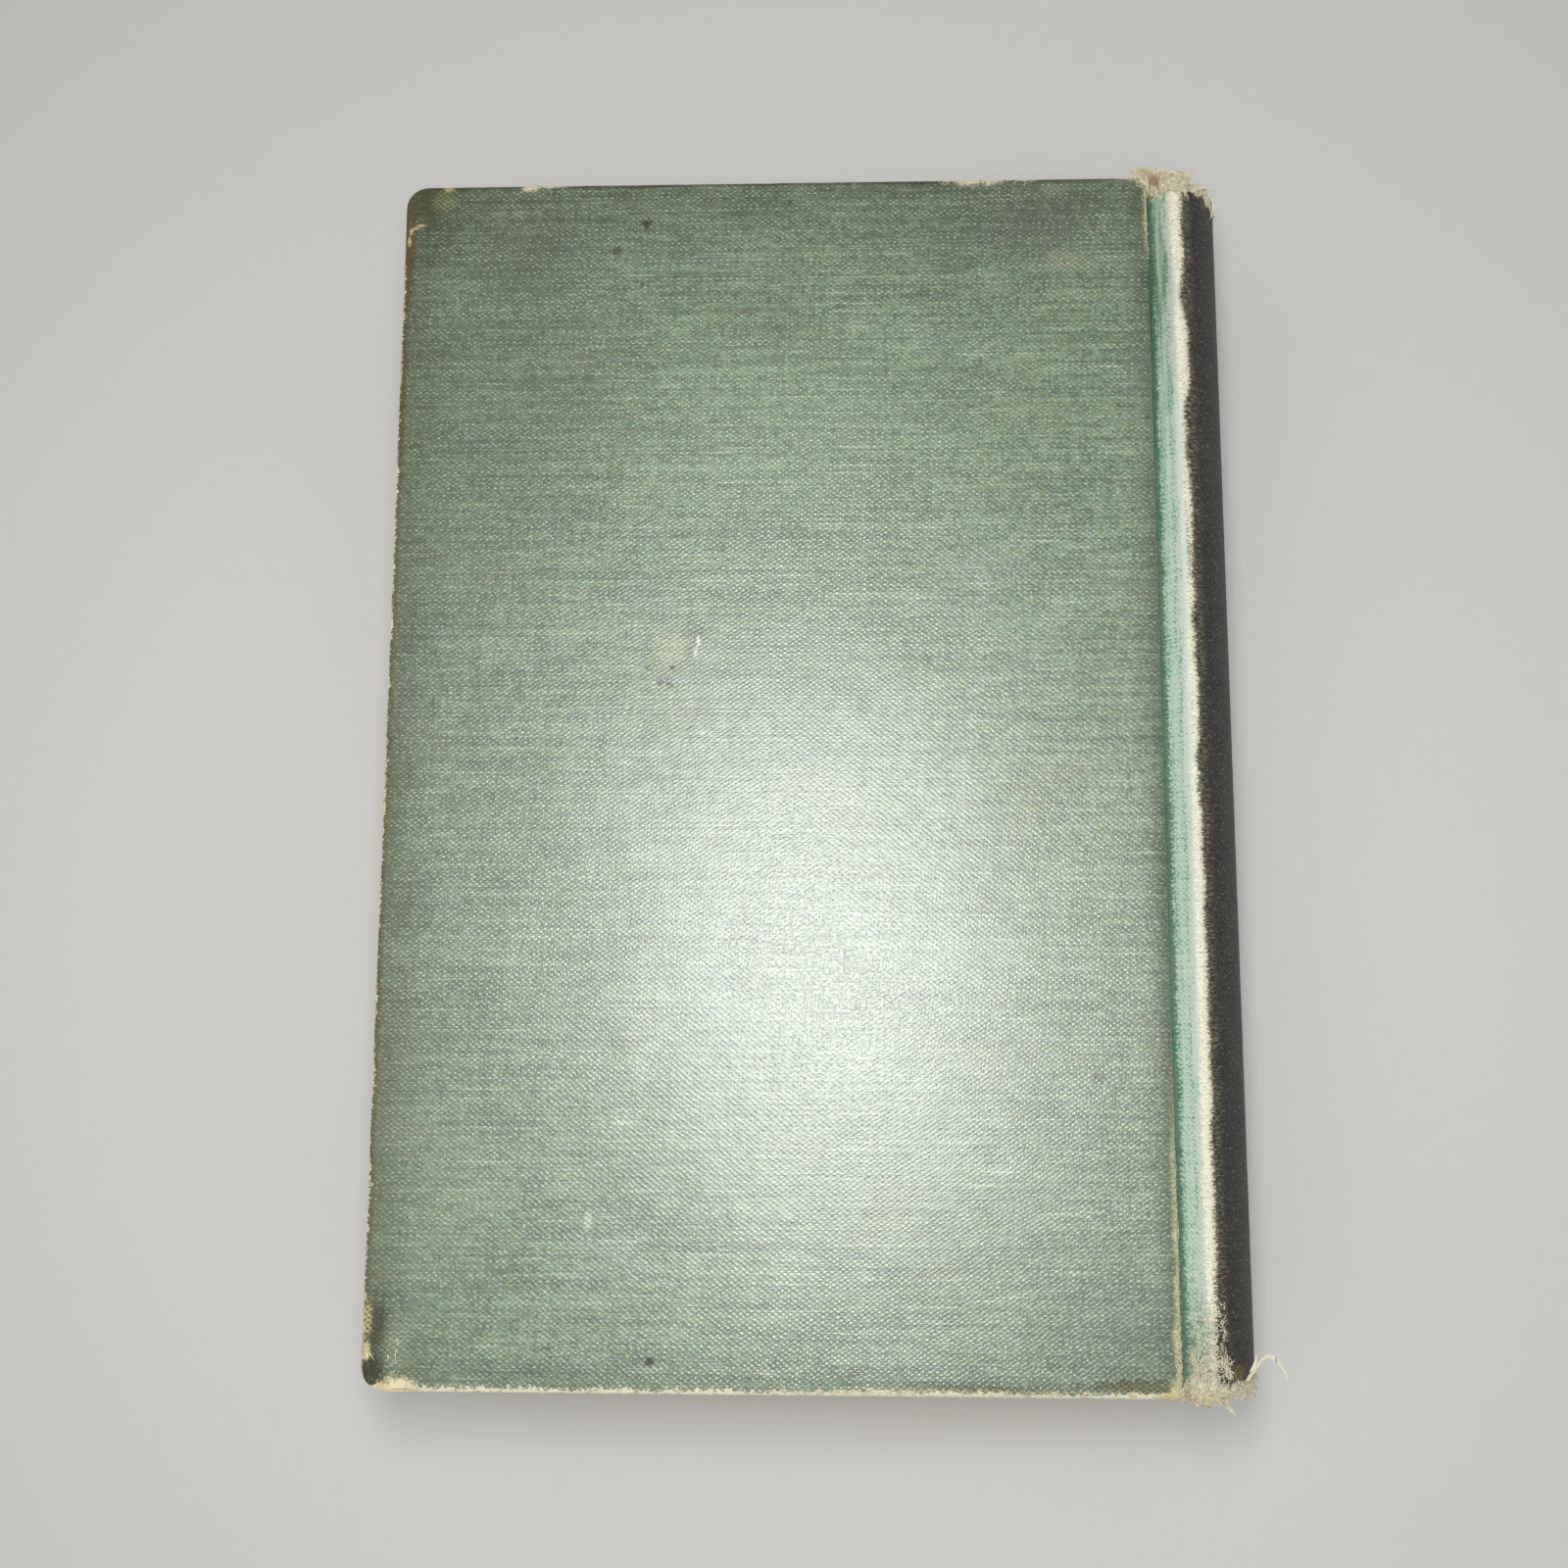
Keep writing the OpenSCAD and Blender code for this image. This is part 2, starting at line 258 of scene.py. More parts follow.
def tube(points, faces, path, radius, sides):
    """Adds a thread along path to points and faces, thinning to its end."""
    first = len(points)
    last = len(path) - 1
    for i, spot in enumerate(path):
        ahead = (path[min(i + 1, last)] - path[max(i - 1, 0)]).normalized()
        side = ahead.orthogonal().normalized()
        other = ahead.cross(side)
        size = radius * (1 - 0.75 * i / last)
        for k in range(sides):
            turn = 2 * HALF_TURN * k / sides
            points.append(spot + size * (math.cos(turn) * side + math.sin(turn) * other))
    for i in range(last):
        for k in range(sides):
            a = first + i * sides + k
            b = first + i * sides + (k + 1) % sides
            faces.append((a, b, b + sides, a + sides))
    faces.append(tuple(first + k for k in reversed(range(sides))))
    faces.append(tuple(first + last * sides + k for k in range(sides)))


def add(tree, kind, settings=None, inputs=None, out=0):
    """Adds a node, sets its values, fills its inputs with sockets or plain values and gives one output."""
    new = tree.nodes.new("ShaderNode" + kind)
    for key, value in (settings or {}).items():
        setattr(new, key, value)
    for key, value in (inputs or {}).items():
        if isinstance(value, bpy.types.NodeSocket):
            tree.links.new(value, new.inputs[key])
        else:
            new.inputs[key].default_value = value
    return new.outputs[out] if new.outputs else None


def new_material(name):
    """A material with only its output, and its node tree."""
    material = bpy.data.materials.new(name)
    material.use_nodes = True
    material.node_tree.nodes.clear()
    return material, material.node_tree


def finish(tree, inputs):
    """The surface shader, joined to the output."""
    surface = add(tree, "BsdfPrincipled", None, inputs)
    add(tree, "OutputMaterial", None, {"Surface": surface})


# Settings of nodes that come up often.
SMOOTH = {"interpolation_type": "SMOOTHSTEP"}
BLEND = {"data_type": "RGBA"}
PLUS = {"operation": "ADD"}
LESS = {"operation": "SUBTRACT"}
TIMES = {"operation": "MULTIPLY"}
TIMES_PLUS = {"operation": "MULTIPLY_ADD"}
CLAMPED = {"operation": "MULTIPLY_ADD", "use_clamp": True}
SIZE = {"operation": "ABSOLUTE"}


def patterns(tree, place, table):
    """Noise patterns on place. table gives each one's width and height in millimetres, and its detail."""
    made = {}
    for key, (wide, tall, detail) in table.items():
        scale = (1 / (wide * MM), 1 / (tall * MM), 1 / MM)
        spot = add(tree, "VectorMath", TIMES, {0: place, 1: scale})
        inputs = {"Vector": spot, "Scale": 1.0, "Detail": detail, "Roughness": 0.6}
        made[key] = add(tree, "TexNoise", None, inputs)
    return made


def total(tree, base, parts):
    """base plus each noise times its weight, with every noise taken about its middle."""
    result = base - sum(weight for _, weight in parts) / 2
    for socket, weight in parts:
        result = add(tree, "Math", TIMES_PLUS, {0: socket, 1: weight, 2: result})
    return result


def tinted(tree, colour, layers):
    """colour with tints laid over it. Each layer gives a value, where the tint sets in and where it is full,
    its strength there and the tint."""
    for value, start, full, strength, tint in layers:
        share = add(tree, "MapRange", SMOOTH, {0: value, 1: start, 2: full, 4: strength})
        colour = add(tree, "Mix", BLEND, {0: share, 6: colour, 7: tint}, 2)
    return colour


def kept(tree, share, spans):
    """share, kept only where every span holds. Each span gives a value, where it sets in and where it is
    full, and its strength there."""
    for value, start, full, strength in spans:
        passed = add(tree, "MapRange", SMOOTH, {0: value, 1: start, 2: full, 4: strength})
        share = add(tree, "Math", TIMES, {0: share, 1: passed})
    return share


# Thread spacing of the bookcloth, and how far its upright threads lean for each millimetre of height.
WARP = 0.53
WEFT = 0.385
LEAN = 0.135
# How the threads wander: the size of each drift, and how far it goes across and along.
DRIFTS = ((7.0, 0.9, 0.6), (1.5, 0.36, 0.3))


def weave(tree, place):
    """Over and under of a plain weave, from -1 to 1, with threads that wander a little."""
    threads = place
    for size, wide, tall in DRIFTS:
        drift = add(tree, "TexNoise", None, {"Vector": place, "Scale": 1 / (size * MM), "Detail": 2.0}, 1)
        shift = (wide * MM, tall * MM, 0.0)
        threads = add(tree, "VectorMath", TIMES_PLUS, {0: drift, 1: shift, 2: threads})
    waves = []
    for across, along in ((1 / WARP, -LEAN / WARP), (0.0, 1 / WEFT)):
        turns = (HALF_TURN * across / MM, HALF_TURN * along / MM, 0.0)
        angle = add(tree, "VectorMath", {"operation": "DOT_PRODUCT"}, {0: threads, 1: turns}, 1)
        waves.append(add(tree, "Math", {"operation": "COSINE"}, {0: angle}))
    return add(tree, "Math", TIMES, {0: waves[0], 1: waves[1]})


def spotted(tree, place, uneven, colour, marks, lift, clean=None):
    """colour with marks on it, and what the marks leave of clean. Each mark gives its middle across and
    along, half width and half height in millimetres, its colour and its strength. uneven makes its rim ragged
    and lift lets the weave show."""
    for across, along, wide, tall, code, strength in marks:
        scale = (1 / (wide * MM), 1 / (tall * MM), 0.0)
        middle = (-across / wide, -along / tall, 0.0)
        spot = add(tree, "VectorMath", TIMES_PLUS, {0: place, 1: scale, 2: middle})
        reach = add(tree, "VectorMath", {"operation": "LENGTH"}, {0: spot}, 1)
        reach = add(tree, "Math", PLUS, {0: reach, 1: uneven})
        share = add(tree, "MapRange", SMOOTH, {0: reach, 1: 1.3, 2: 0.4, 4: strength})
        share = add(tree, "Math", {"operation": "MULTIPLY", "use_clamp": True}, {0: share, 1: lift})
        colour = add(tree, "Mix", BLEND, {0: share, 6: colour, 7: linear(code)}, 2)
        if clean is not None:
            left = add(tree, "Math", LESS, {0: 1.0, 1: share})
            clean = add(tree, "Math", TIMES, {0: clean, 1: left})
    return colour, clean


# Marks on the back cover: clouds, the two small ones in the dye and the wide ones painted shade and painted
# light that make the cover darker at its top corners, upper left, left, middle and lower right, and paler
# above the middle and at the lower left, as the light falls on it; stains that take the glaze away, rubbed
# places where the weave shows, and places that are bare of dye.
BACK_CLOUDS_AND_SHADE = (
    (-46.0, 83.0, 13.0, 10.0, "#434f35", 0.45),
    (-50.0, 60.0, 22.0, 30.0, "#47533b", 0.3),
    (-54.0, 6.0, 16.0, 40.0, "#4f5c43", 0.14),
    (36.4, 86.8, 10.0, 7.0, "#3f4733", 0.5),
    (22.0, 83.0, 6.0, 4.0, "#4a5340", 0.3),
    (1.3, 0.2, 6.0, 2.0, "#56785f", 0.45),
    (44.0, -84.0, 12.0, 10.0, "#4a5844", 0.3),
    (-6.0, 54.0, 22.0, 16.0, "#a9c39f", 0.14),
    (-6.0, 12.0, 22.0, 14.0, "#5f7458", 0.16),
    (-58.0, -70.0, 10.0, 26.0, "#9db394", 0.1),
)
BACK_SOIL = (
    (-22.5, 14.2, 0.6, 0.35, "#3f4038", 0.8),
    (-24.4, 11.7, 0.6, 0.6, "#484a44", 0.65),
    (-22.9, 11.5, 1.0, 0.8, "#4c4f4a", 0.65),
    (-26.3, 14.2, 0.7, 0.7, "#545c4c", 0.6),
    (-27.7, 88.8, 1.1, 0.8, "#3a3824", 0.85),
    (-32.5, 84.0, 1.0, 1.0, "#45452f", 0.6),
    (42.7, -49.4, 1.6, 0.9, "#565a50", 0.5),
    (-24.4, -91.2, 0.9, 0.7, "#3a3d31", 0.8),
    (47.5, -94.4, 7.0, 1.7, "#3e3e20", 0.8),
    (25.0, -94.9, 12.0, 0.9, "#3c3f20", 0.6),
    (-64.8, 92.8, 4.2, 3.8, "#4a4524", 0.62),
    (-66.9, 83.0, 1.3, 10.0, "#5c4722", 0.72),
    (-67.2, 60.0, 0.9, 16.0, "#5a4826", 0.55),
    (-66.0, -93.0, 2.2, 3.2, "#36341d", 0.9),
    (-65.4, -86.6, 2.2, 5.0, "#3c3d22", 0.7),
)
BACK_RUBBED = (
    (-22.7, 17.4, 3.0, 3.0, "#d2c89c", 0.55),
    (-16.6, 16.4, 2.4, 1.9, "#b9beba", 0.45),
    (-20.8, 12.3, 1.0, 0.9, "#b4babc", 0.5),
    (40.6, 81.5, 3.6, 2.0, "#b9b894", 0.5),
    (38.6, 94.0, 2.6, 1.2, "#a5b08a", 0.5),
    (-34.0, -70.8, 0.7, 1.4, "#d5e2c6", 0.8),
    (-60.7, 95.4, 1.0, 0.7, "#d6c894", 1.2),
    (-61.3, 93.2, 2.2, 2.0, "#a8ab78", 0.5),
    (-67.0, -85.4, 0.9, 2.8, "#d6c590", 1.2),
    (48.0, -94.6, 6.0, 1.2, "#b9b67c", 0.45),
    (20.0, -95.2, 26.0, 0.7, "#c9c48f", 0.55),
    (-62.6, -89.5, 2.4, 3.6, "#b9c29a", 0.45),
)
BACK_BARE = (
    (-18.4, 18.4, 0.34, 0.9, "#f2f1de", 0.7),
    (-18.8, 16.6, 0.36, 0.8, "#e6ebe2", 0.55),
    (-47.0, 95.5, 1.6, 0.8, "#eadfbd", 1.0),
    (-43.4, 95.8, 2.8, 0.5, "#e4d9b2", 1.0),
    (25.0, 95.9, 2.4, 1.2, "#efe4c0", 1.0),
    (28.8, 96.0, 2.6, 1.1, "#f2e8c8", 1.0),
    (21.6, 96.2, 2.0, 0.6, "#e6dab2", 1.0),
    (34.4, 96.2, 2.4, 0.8, "#e6dab2", 1.0),
    (-65.0, 89.0, 0.9, 0.24, "#d8c694", 0.75),
    (-65.9, 88.5, 0.55, 0.28, "#d3bd86", 0.75),
    (-66.6, 87.9, 0.32, 0.6, "#d9c592", 0.75),
    (-66.9, 86.2, 0.3, 1.1, "#d6c290", 0.9),
    (-67.0, -90.0, 0.9, 1.4, "#dccb98", 1.0),
    (53.2, 95.8, 1.8, 1.2, "#ecdcb2", 1.0),
    (50.6, 96.0, 1.8, 0.5, "#e2d2a4", 1.0),
    (53.2, -94.8, 1.2, 1.8, "#ddcf9c", 1.0),
    (51.8, -95.8, 2.0, 0.7, "#ddcb98", 1.0),
    (-61.9, -95.3, 2.9, 1.7, "#fff0c4", 1.0),
    (-59.4, -96.0, 2.2, 1.1, "#fff0ca", 1.0),
    (-64.5, -95.4, 0.7, 1.0, "#f0cf98", 0.8),
)


def cover_bookcloth(colours, name, clouds_and_shade=(), soiled=(), rubbed_marks=(), bared_marks=()):
    """Cotton bookcloth, dyed in the piece, starch-filled and calendered: a fine plain weave with a satin
    glaze, streaked along the weft, rubbed pale on the thread tops and soiled by hands at its edges, with
    painted shade and painted light in wide clouds and painted shade towards the fore-edge and the head."""
    material, tree = new_material(name)
    place = add(tree, "Attribute", {"attribute_name": "cloth"}, None, 1)
    sides = [add(tree, "SeparateXYZ", None, {0: place}, i) for i in (0, 1)]
    noises = patterns(tree, place, {
        "row": (30, WEFT, 2.0), "line": (22, WEFT, 2.0), "slub": (11, WEFT, 1.0), "band": (45, 1.5, 2.0),
        "column": (WARP, 14, 1.0), "tick": (WARP, 3.0, 1.0), "mottle": (16, 12, 4.0),
        "cloud": (3.4, 2.4, 3.0), "clump": (1.7, 1.1, 2.0), "dot": (0.55, 0.4, 1.0),
        "ragged": (1.6, 1.1, 3.0), "patch": (13, 9, 2.0), "tint": (24, 18, 3.0), "speck": (2.2, 0.8, 3.0),
    })
    # Crossings of the threads, each rubbed more or less than the next, and more in some rows than in others.
    half = kept(tree, weave(tree, place), ((noises["dot"], 0.36, 0.62, 1.0),))
    dotted = kept(tree, half, ((noises["row"], 0.34, 0.62, 1.5),))
    lift = add(tree, "Math", CLAMPED, {0: half, 1: 1.1, 2: 0.55})
    tone = total(tree, 0.43, (
        (noises["row"], 1.5), (noises["band"], 0.8), (noises["column"], 0.4), (noises["mottle"], 0.8),
        (noises["cloud"], 0.8), (noises["clump"], 1.5), (noises["dot"], 2.0),
    ))
    tone = add(tree, "Math", CLAMPED, {0: dotted, 1: 0.55, 2: tone})
    shades = {6: tuple(colours.cloth_gap), 7: tuple(colours.cloth_thread)}
    colour = add(tree, "Mix", BLEND, {0: tone, **shades}, 2)
    colour = tinted(tree, colour, (
        (noises["tint"], 0.52, 0.7, 0.3, tuple(colours.cloth_olive)),
        (noises["tint"], 0.46, 0.3, 0.22, tuple(colours.cloth_grey)),
        (noises["line"], 0.4, 0.26, 0.4, tuple(colours.cloth_deep)),
        (noises["speck"], 0.56, 0.68, 0.35, linear("#86a3a4")),
        (noises["speck"], 0.44, 0.32, 0.35, linear("#93955f")),
    ))
    for key, strength in (("slub", 0.9), ("tick", 0.35)):
        pale = kept(tree, lift, ((noises[key], 0.6, 0.74, strength),))
        colour = add(tree, "Mix", BLEND, {0: pale, 6: colour, 7: tuple(colours.cloth_slub)}, 2)

    # Hand soil, down to the middle of the board's edge, and painted shade: the two rows that reach 45 mm
    # darken the cover towards its fore-edge and its head as the light falls off. For each edge: the axis that
    # crosses it, its sign and place, the reach in millimetres, its strength and its colour.
    soil_and_shade_rows = (
        (0, 1.0, -FORE_X, 45.0, 0.12, colours.soil), (1, -1.0, HEAD_Y, 45.0, 0.16, colours.soil),
        (0, 1.0, -FORE_X, 12.0, 0.5, colours.soil), (0, 1.0, -FORE_X, 1.6, 0.75, colours.brown),
        (1, -1.0, HEAD_Y, 18.0, 0.4, colours.soil), (1, -1.0, HEAD_Y, 1.2, 0.95, colours.brown),
        (1, 1.0, -TAIL_Y, 8.0, 0.25, colours.soil), (1, 1.0, -TAIL_Y, 1.6, 0.6, colours.soil),
        (0, -1.0, JOINT_X, 6.0, 0.45, colours.soil), (0, 1.0, -FORE_X, 4.0, 0.12, colours.tan),
    )
    clean = 1.0
    for axis, sign, offset, reach, strength, shade in soil_and_shade_rows:
        inside = add(tree, "Math", TIMES_PLUS, {0: sides[axis], 1: sign, 2: offset * MM})
        cloudy = total(tree, 0.0, ((noises["patch"], reach * MM), (noises["ragged"], 0.6 * reach * MM)))
        depth = add(tree, "Math", PLUS, {0: inside, 1: cloudy})
        soil_and_shade_share = kept(tree, 1.0, ((depth, reach * MM, 0.0, strength), (inside, -2.6 * MM, -0.7 * MM, 1.0)))
        colour = add(tree, "Mix", BLEND, {0: soil_and_shade_share, 6: colour, 7: tuple(shade)}, 2)
        left = add(tree, "Math", LESS, {0: 1.0, 1: soil_and_shade_share})
        clean = add(tree, "Math", TIMES, {0: clean, 1: left})
    # Darker clumps over the upper part of the cover, setting in 20 mm above the middle and full at 90 mm.
    upper_clumps = kept(tree, 1.0, ((noises["clump"], 0.36, 0.26, 0.6), (sides[1], 20 * MM, 90 * MM, 1.0)))
    colour = add(tree, "Mix", BLEND, {0: upper_clumps, 6: colour, 7: tuple(colours.soil)}, 2)
    uneven = total(tree, 0.0, ((noises["ragged"], 1.6), (noises["dot"], 1.4)))
    # Clouds in the dye, with painted shade and painted light in the wide ones.
    colour, _ = spotted(tree, place, uneven, colour, clouds_and_shade, 1.0)
    colour, clean = spotted(tree, place, uneven, colour, soiled, 1.0, clean)
    # The most rubbed crossings shine through the soil as pale dots.
    bright = kept(tree, 1.0, ((dotted, 0.22, 0.95, 0.62), (clean, 0.0, 0.6, 1.0)))
    colour = add(tree, "Mix", BLEND, {0: bright, 6: colour, 7: tuple(colours.cloth_dot)}, 2)

    # Worn thread. For each edge: the axis that crosses it, its sign and place, the width and the share that
    # is worn, between which places along the edge the wear sets in, and the colour of the bared thread.
    cotton = tinted(tree, tuple(colours.tan), ((noises["clump"], 0.25, 0.5, 1.0, tuple(colours.worn)),))
    tired = tinted(tree, linear("#93986c"), ((noises["dot"], 0.35, 0.6, 1.0, linear("#e2deb4")),))
    worn = (
        (0, 1.0, -FORE_X, 0.2, 0.3, (90.0, 78.0), cotton),
        (1, 1.0, -TAIL_Y, 0.35, 1.0, (-90.0, -80.0), cotton),
        (0, -1.0, JOINT_X, 0.4, 0.8, (80.0, 88.0), tired),
        (0, -1.0, JOINT_X, 0.5, 0.85, (-40.0, -76.0), tired),
        (0, -1.0, JOINT_X, 1.0, 0.7, (-84.0, -92.0), tired),
    )
    for axis, sign, offset, width, share, (start, end), bared in worn:
        inside = add(tree, "Math", TIMES_PLUS, {0: sides[axis], 1: sign, 2: offset * MM})
        frayed = total(tree, (0.5 - share) * 0.9 * MM, (
            (noises["patch"], 1.6 * MM), (noises["ragged"], 1.6 * MM), (noises["dot"], 2.2 * MM),
        ))
        frayed = add(tree, "Math", PLUS, {0: inside, 1: frayed})
        rubbed = kept(tree, 1.0, (
            (frayed, (width + 0.5) * MM, (width - 0.2) * MM, 1.0), (inside, -2.2 * MM, -0.6 * MM, 1.0),
            (sides[1 - axis], start * MM, end * MM, 1.0),
        ))
        colour = add(tree, "Mix", BLEND, {0: rubbed, 6: colour, 7: bared}, 2)
    colour, _ = spotted(tree, place, uneven, colour, rubbed_marks, lift)
    colour, _ = spotted(tree, place, uneven, colour, bared_marks, 1.0)

    # Soil, and the painted shade of the wide rows, take the glaze away.
    glaze = add(tree, "MapRange", SMOOTH, {0: clean, 1: 0.1, 2: 0.75})
    height = total(tree, 0.0, ((noises["row"], 0.8), (noises["dot"], 0.8)))
    height = add(tree, "Math", PLUS, {0: height, 1: half})
    bump = add(tree, "Bump", None, {"Height": height, "Strength": 0.4, "Distance": 0.06 * MM})
    finish(tree, {
        "Base Color": colour, "Roughness": 0.48, "IOR": 1.55, "Normal": bump,
        "Coat Weight": glaze, "Coat Roughness": 0.3, "Coat IOR": 1.9, "Coat Normal": bump,
    })
    return material


# Stains on the joints and the spine, placed on the cloth.
SPINE_MARKS = (
    (-4.3, 94.9, 1.1, 1.3, "#94643a", 0.9),
    (-2.6, 95.6, 1.6, 0.9, "#b98f5c", 0.6),
    (3.5, 94.6, 2.0, 1.0, "#8c8c6c", 0.7),
    (7.5, 93.6, 1.4, 1.4, "#6d6446", 0.7),
    (5.5, -92.6, 2.4, 1.2, "#9a8c55", 0.5),
    (1.5, -95.0, 3.0, 0.9, "#c9ad78", 0.5),
    (-4.0, -95.4, 1.4, 1.0, "#bd9a66", 0.5),
)


def spine_bookcloth(colours):
    """The same bookcloth over the joints and the spine: bright where the joint kept it clean, rubbed through
    to undyed cotton on the ridges and at both ends, and blackened by handling over the spine."""
    material, tree = new_material("bookcloth_spine_and_joints")
    place = add(tree, "Attribute", {"attribute_name": "cloth"}, None, 1)
    across, along, run = (add(tree, "SeparateXYZ", None, {0: place}, i) for i in (0, 1, 2))
    laid = add(tree, "CombineXYZ", None, {0: run, 1: along})
    noises = patterns(tree, laid, {
        "row": (14, WEFT, 2.0), "line": (0.7, 14, 2.0), "slub": (7, WEFT, 1.0), "mottle": (6, 9, 3.0),
        "ragged": (1.5, 0.55, 2.0), "patch": (30, 7, 3.0), "dot": (0.5, 0.42, 1.0), "hair": (1.6, 0.24, 1.0),
        "lint": (0.7, 0.6, 1.0),
    })
    half = kept(tree, weave(tree, laid), ((noises["dot"], 0.3, 0.7, 1.0),))

    # The joint: clean green, with painted shade in the groove and towards the head, and a pale band towards
    # the ridge that is partly rubbed thread and partly a painted highlight on the upper slope.
    tone = total(tree, 0.58, (
        (noises["line"], 1.8), (noises["row"], 1.8), (noises["mottle"], 0.9), (noises["dot"], 2.4),
    ))
    tone = add(tree, "Math", TIMES_PLUS, {0: half, 1: 0.8, 2: tone})
    clean = kept(tree, 1.0, ((across, -4.4 * MM, -3.7 * MM, 1.0), (across, -2.1 * MM, -3.0 * MM, 1.0)))
    tone = add(tree, "Math", CLAMPED, {0: clean, 1: 0.4, 2: tone})
    mint = add(tree, "Mix", BLEND, {0: tone, 6: tuple(colours.joint_gap), 7: tuple(colours.joint_thread)}, 2)
    mint = tinted(tree, mint, (
        (noises["slub"], 0.6, 0.72, 0.75, linear("#eef5e4")),
        (noises["lint"], 0.62, 0.74, 0.75, linear("#eef5e4")),
    ))
    # Painted shade: darker streaks towards the head of the joint.
    shaded = kept(tree, 1.0, ((noises["line"], 0.6, 0.4, 1.0), (along, 30 * MM, 85 * MM, 0.6)))
    mint = add(tree, "Mix", BLEND, {0: shaded, 6: mint, 7: linear("#5c8566")}, 2)
    # Pale band on the upper slope towards the ridge: partly rubbed thread, partly painted highlight.
    chalk_and_highlight = total(tree, 0.0, (
        (noises["line"], 2.0 * MM), (noises["dot"], 2.4 * MM), (noises["patch"], 4.0 * MM),
        (noises["hair"], 2.8 * MM),
    ))
    chalk_and_highlight = add(tree, "Math", PLUS, {0: across, 1: chalk_and_highlight})
    # Painted shade: dark teal in the groove beside the board's edge, where the board shades the joint.
    groove = total(tree, 0.0, ((noises["patch"], 0.8 * MM), (noises["dot"], 1.0 * MM)))
    groove = add(tree, "Math", PLUS, {0: across, 1: groove})
    # Painted shade towards the head, the painted highlight of the pale band, and painted shade in the groove.
    mint = tinted(tree, mint, (
        (along, 50 * MM, 100 * MM, 0.4, linear("#7a9568")),
        (chalk_and_highlight, -2.8 * MM, -1.4 * MM, 0.8, linear("#e2e8dc")),
        (groove, -4.2 * MM, -5.0 * MM, 0.85, linear("#355c46")),
    ))
    soiled = kept(tree, 1.0, ((along, -78 * MM, -90 * MM, 1.0), (noises["ragged"], 0.62, 0.4, 0.75)))
    mint = add(tree, "Mix", BLEND, {0: soiled, 6: mint, 7: linear("#5e7357")}, 2)

    # The spine: blackened, browner beside the ridge, with tan flecks there and grey lint all over.
    tone = total(tree, 0.42, ((noises["mottle"], 1.0), (noises["dot"], 2.4), (noises["row"], 1.0)))
    tone = add(tree, "Math", CLAMPED, {0: half, 1: 0.7, 2: tone})
    dark = add(tree, "Mix", BLEND, {0: tone, 6: tuple(colours.spine_gap), 7: tuple(colours.spine_thread)}, 2)
    handled = total(tree, 0.0, ((noises["patch"], 4.0 * MM), (noises["ragged"], 2.5 * MM)))
    handled = add(tree, "Math", PLUS, {0: across, 1: handled})
    dark = tinted(tree, dark, ((handled, 4.6 * MM, 1.4 * MM, 0.7, tuple(colours.spine_brown)),))
    flecks = kept(tree, 1.0, ((handled, 4.0 * MM, 0.8 * MM, 1.0), (noises["hair"], 0.46, 0.64, 0.8)))
    dark = add(tree, "Mix", BLEND, {0: flecks, 6: dark, 7: linear("#a59b7e")}, 2)
    dark = tinted(tree, dark, ((noises["lint"], 0.6, 0.72, 0.6, linear("#8a8981")),))
    colour = tinted(tree, mint, ((across, -0.4 * MM, 0.3 * MM, 1.0, dark),))

    # Undyed cotton: along the crest between the limits that the mesh gives, and over both ends.
    wear = add(tree, "Attribute", {"attribute_name": "wear"}, None, 1)
    low_limit, high_limit, end_depth = (add(tree, "SeparateXYZ", None, {0: wear}, i) for i in (0, 1, 2))
    frayed = total(tree, 0.0, (
        (noises["hair"], 2.8 * MM), (noises["patch"], 1.0 * MM), (noises["dot"], 1.2 * MM),
        (noises["ragged"], 1.2 * MM),
    ))
    outer = add(tree, "Math", PLUS, {0: across, 1: frayed})
    outer = add(tree, "Math", LESS, {0: high_limit, 1: outer})
    frayed = total(tree, 0.0, ((noises["hair"], 2.4 * MM), (noises["dot"], 1.2 * MM)))
    inner = add(tree, "Math", PLUS, {0: across, 1: frayed})
    inner = add(tree, "Math", LESS, {0: inner, 1: low_limit})
    bare = kept(tree, 1.0, ((outer, -0.25 * MM, 0.4 * MM, 1.0), (inner, -0.55 * MM, 0.0, 1.0)))
    soft = total(tree, 0.85, ((noises["dot"], 1.6), (noises["mottle"], 0.6), (noises["hair"], 1.2)))
    soft = add(tree, "Math", CLAMPED, {0: half, 1: 0.3, 2: soft})
    cotton = add(tree, "Mix", BLEND, {0: soft, 6: linear("#c6bf98"), 7: linear("#fffde6")}, 2)
    colour = add(tree, "Mix", BLEND, {0: bare, 6: colour, 7: cotton}, 2)
    reach = add(tree, "Math", SIZE, {0: along})
    ends = total(tree, -HEAD_Y * MM, (
        (noises["patch"], 2.0 * MM), (noises["dot"], 1.4 * MM), (noises["line"], 2.4 * MM),
    ))
    ends = add(tree, "Math", PLUS, {0: reach, 1: ends})
    ends = add(tree, "Math", PLUS, {0: ends, 1: end_depth})
    # At both ends: dark tan soiled cotton under the loose threads, partly painted shade between the fibres.
    soft = total(tree, 0.64, ((noises["dot"], 2.4), (noises["ragged"], 1.6)))
    cotton = add(tree, "Mix", BLEND, {0: soft, 6: linear("#97834f"), 7: linear("#fff6d6")}, 2)
    colour = tinted(tree, colour, ((ends, -0.6 * MM, 0.6 * MM, 1.0, cotton),))
    uneven = total(tree, 0.0, ((noises["ragged"], 1.6), (noises["dot"], 1.4)))
    colour, _ = spotted(tree, place, uneven, colour, SPINE_MARKS, 0.85)

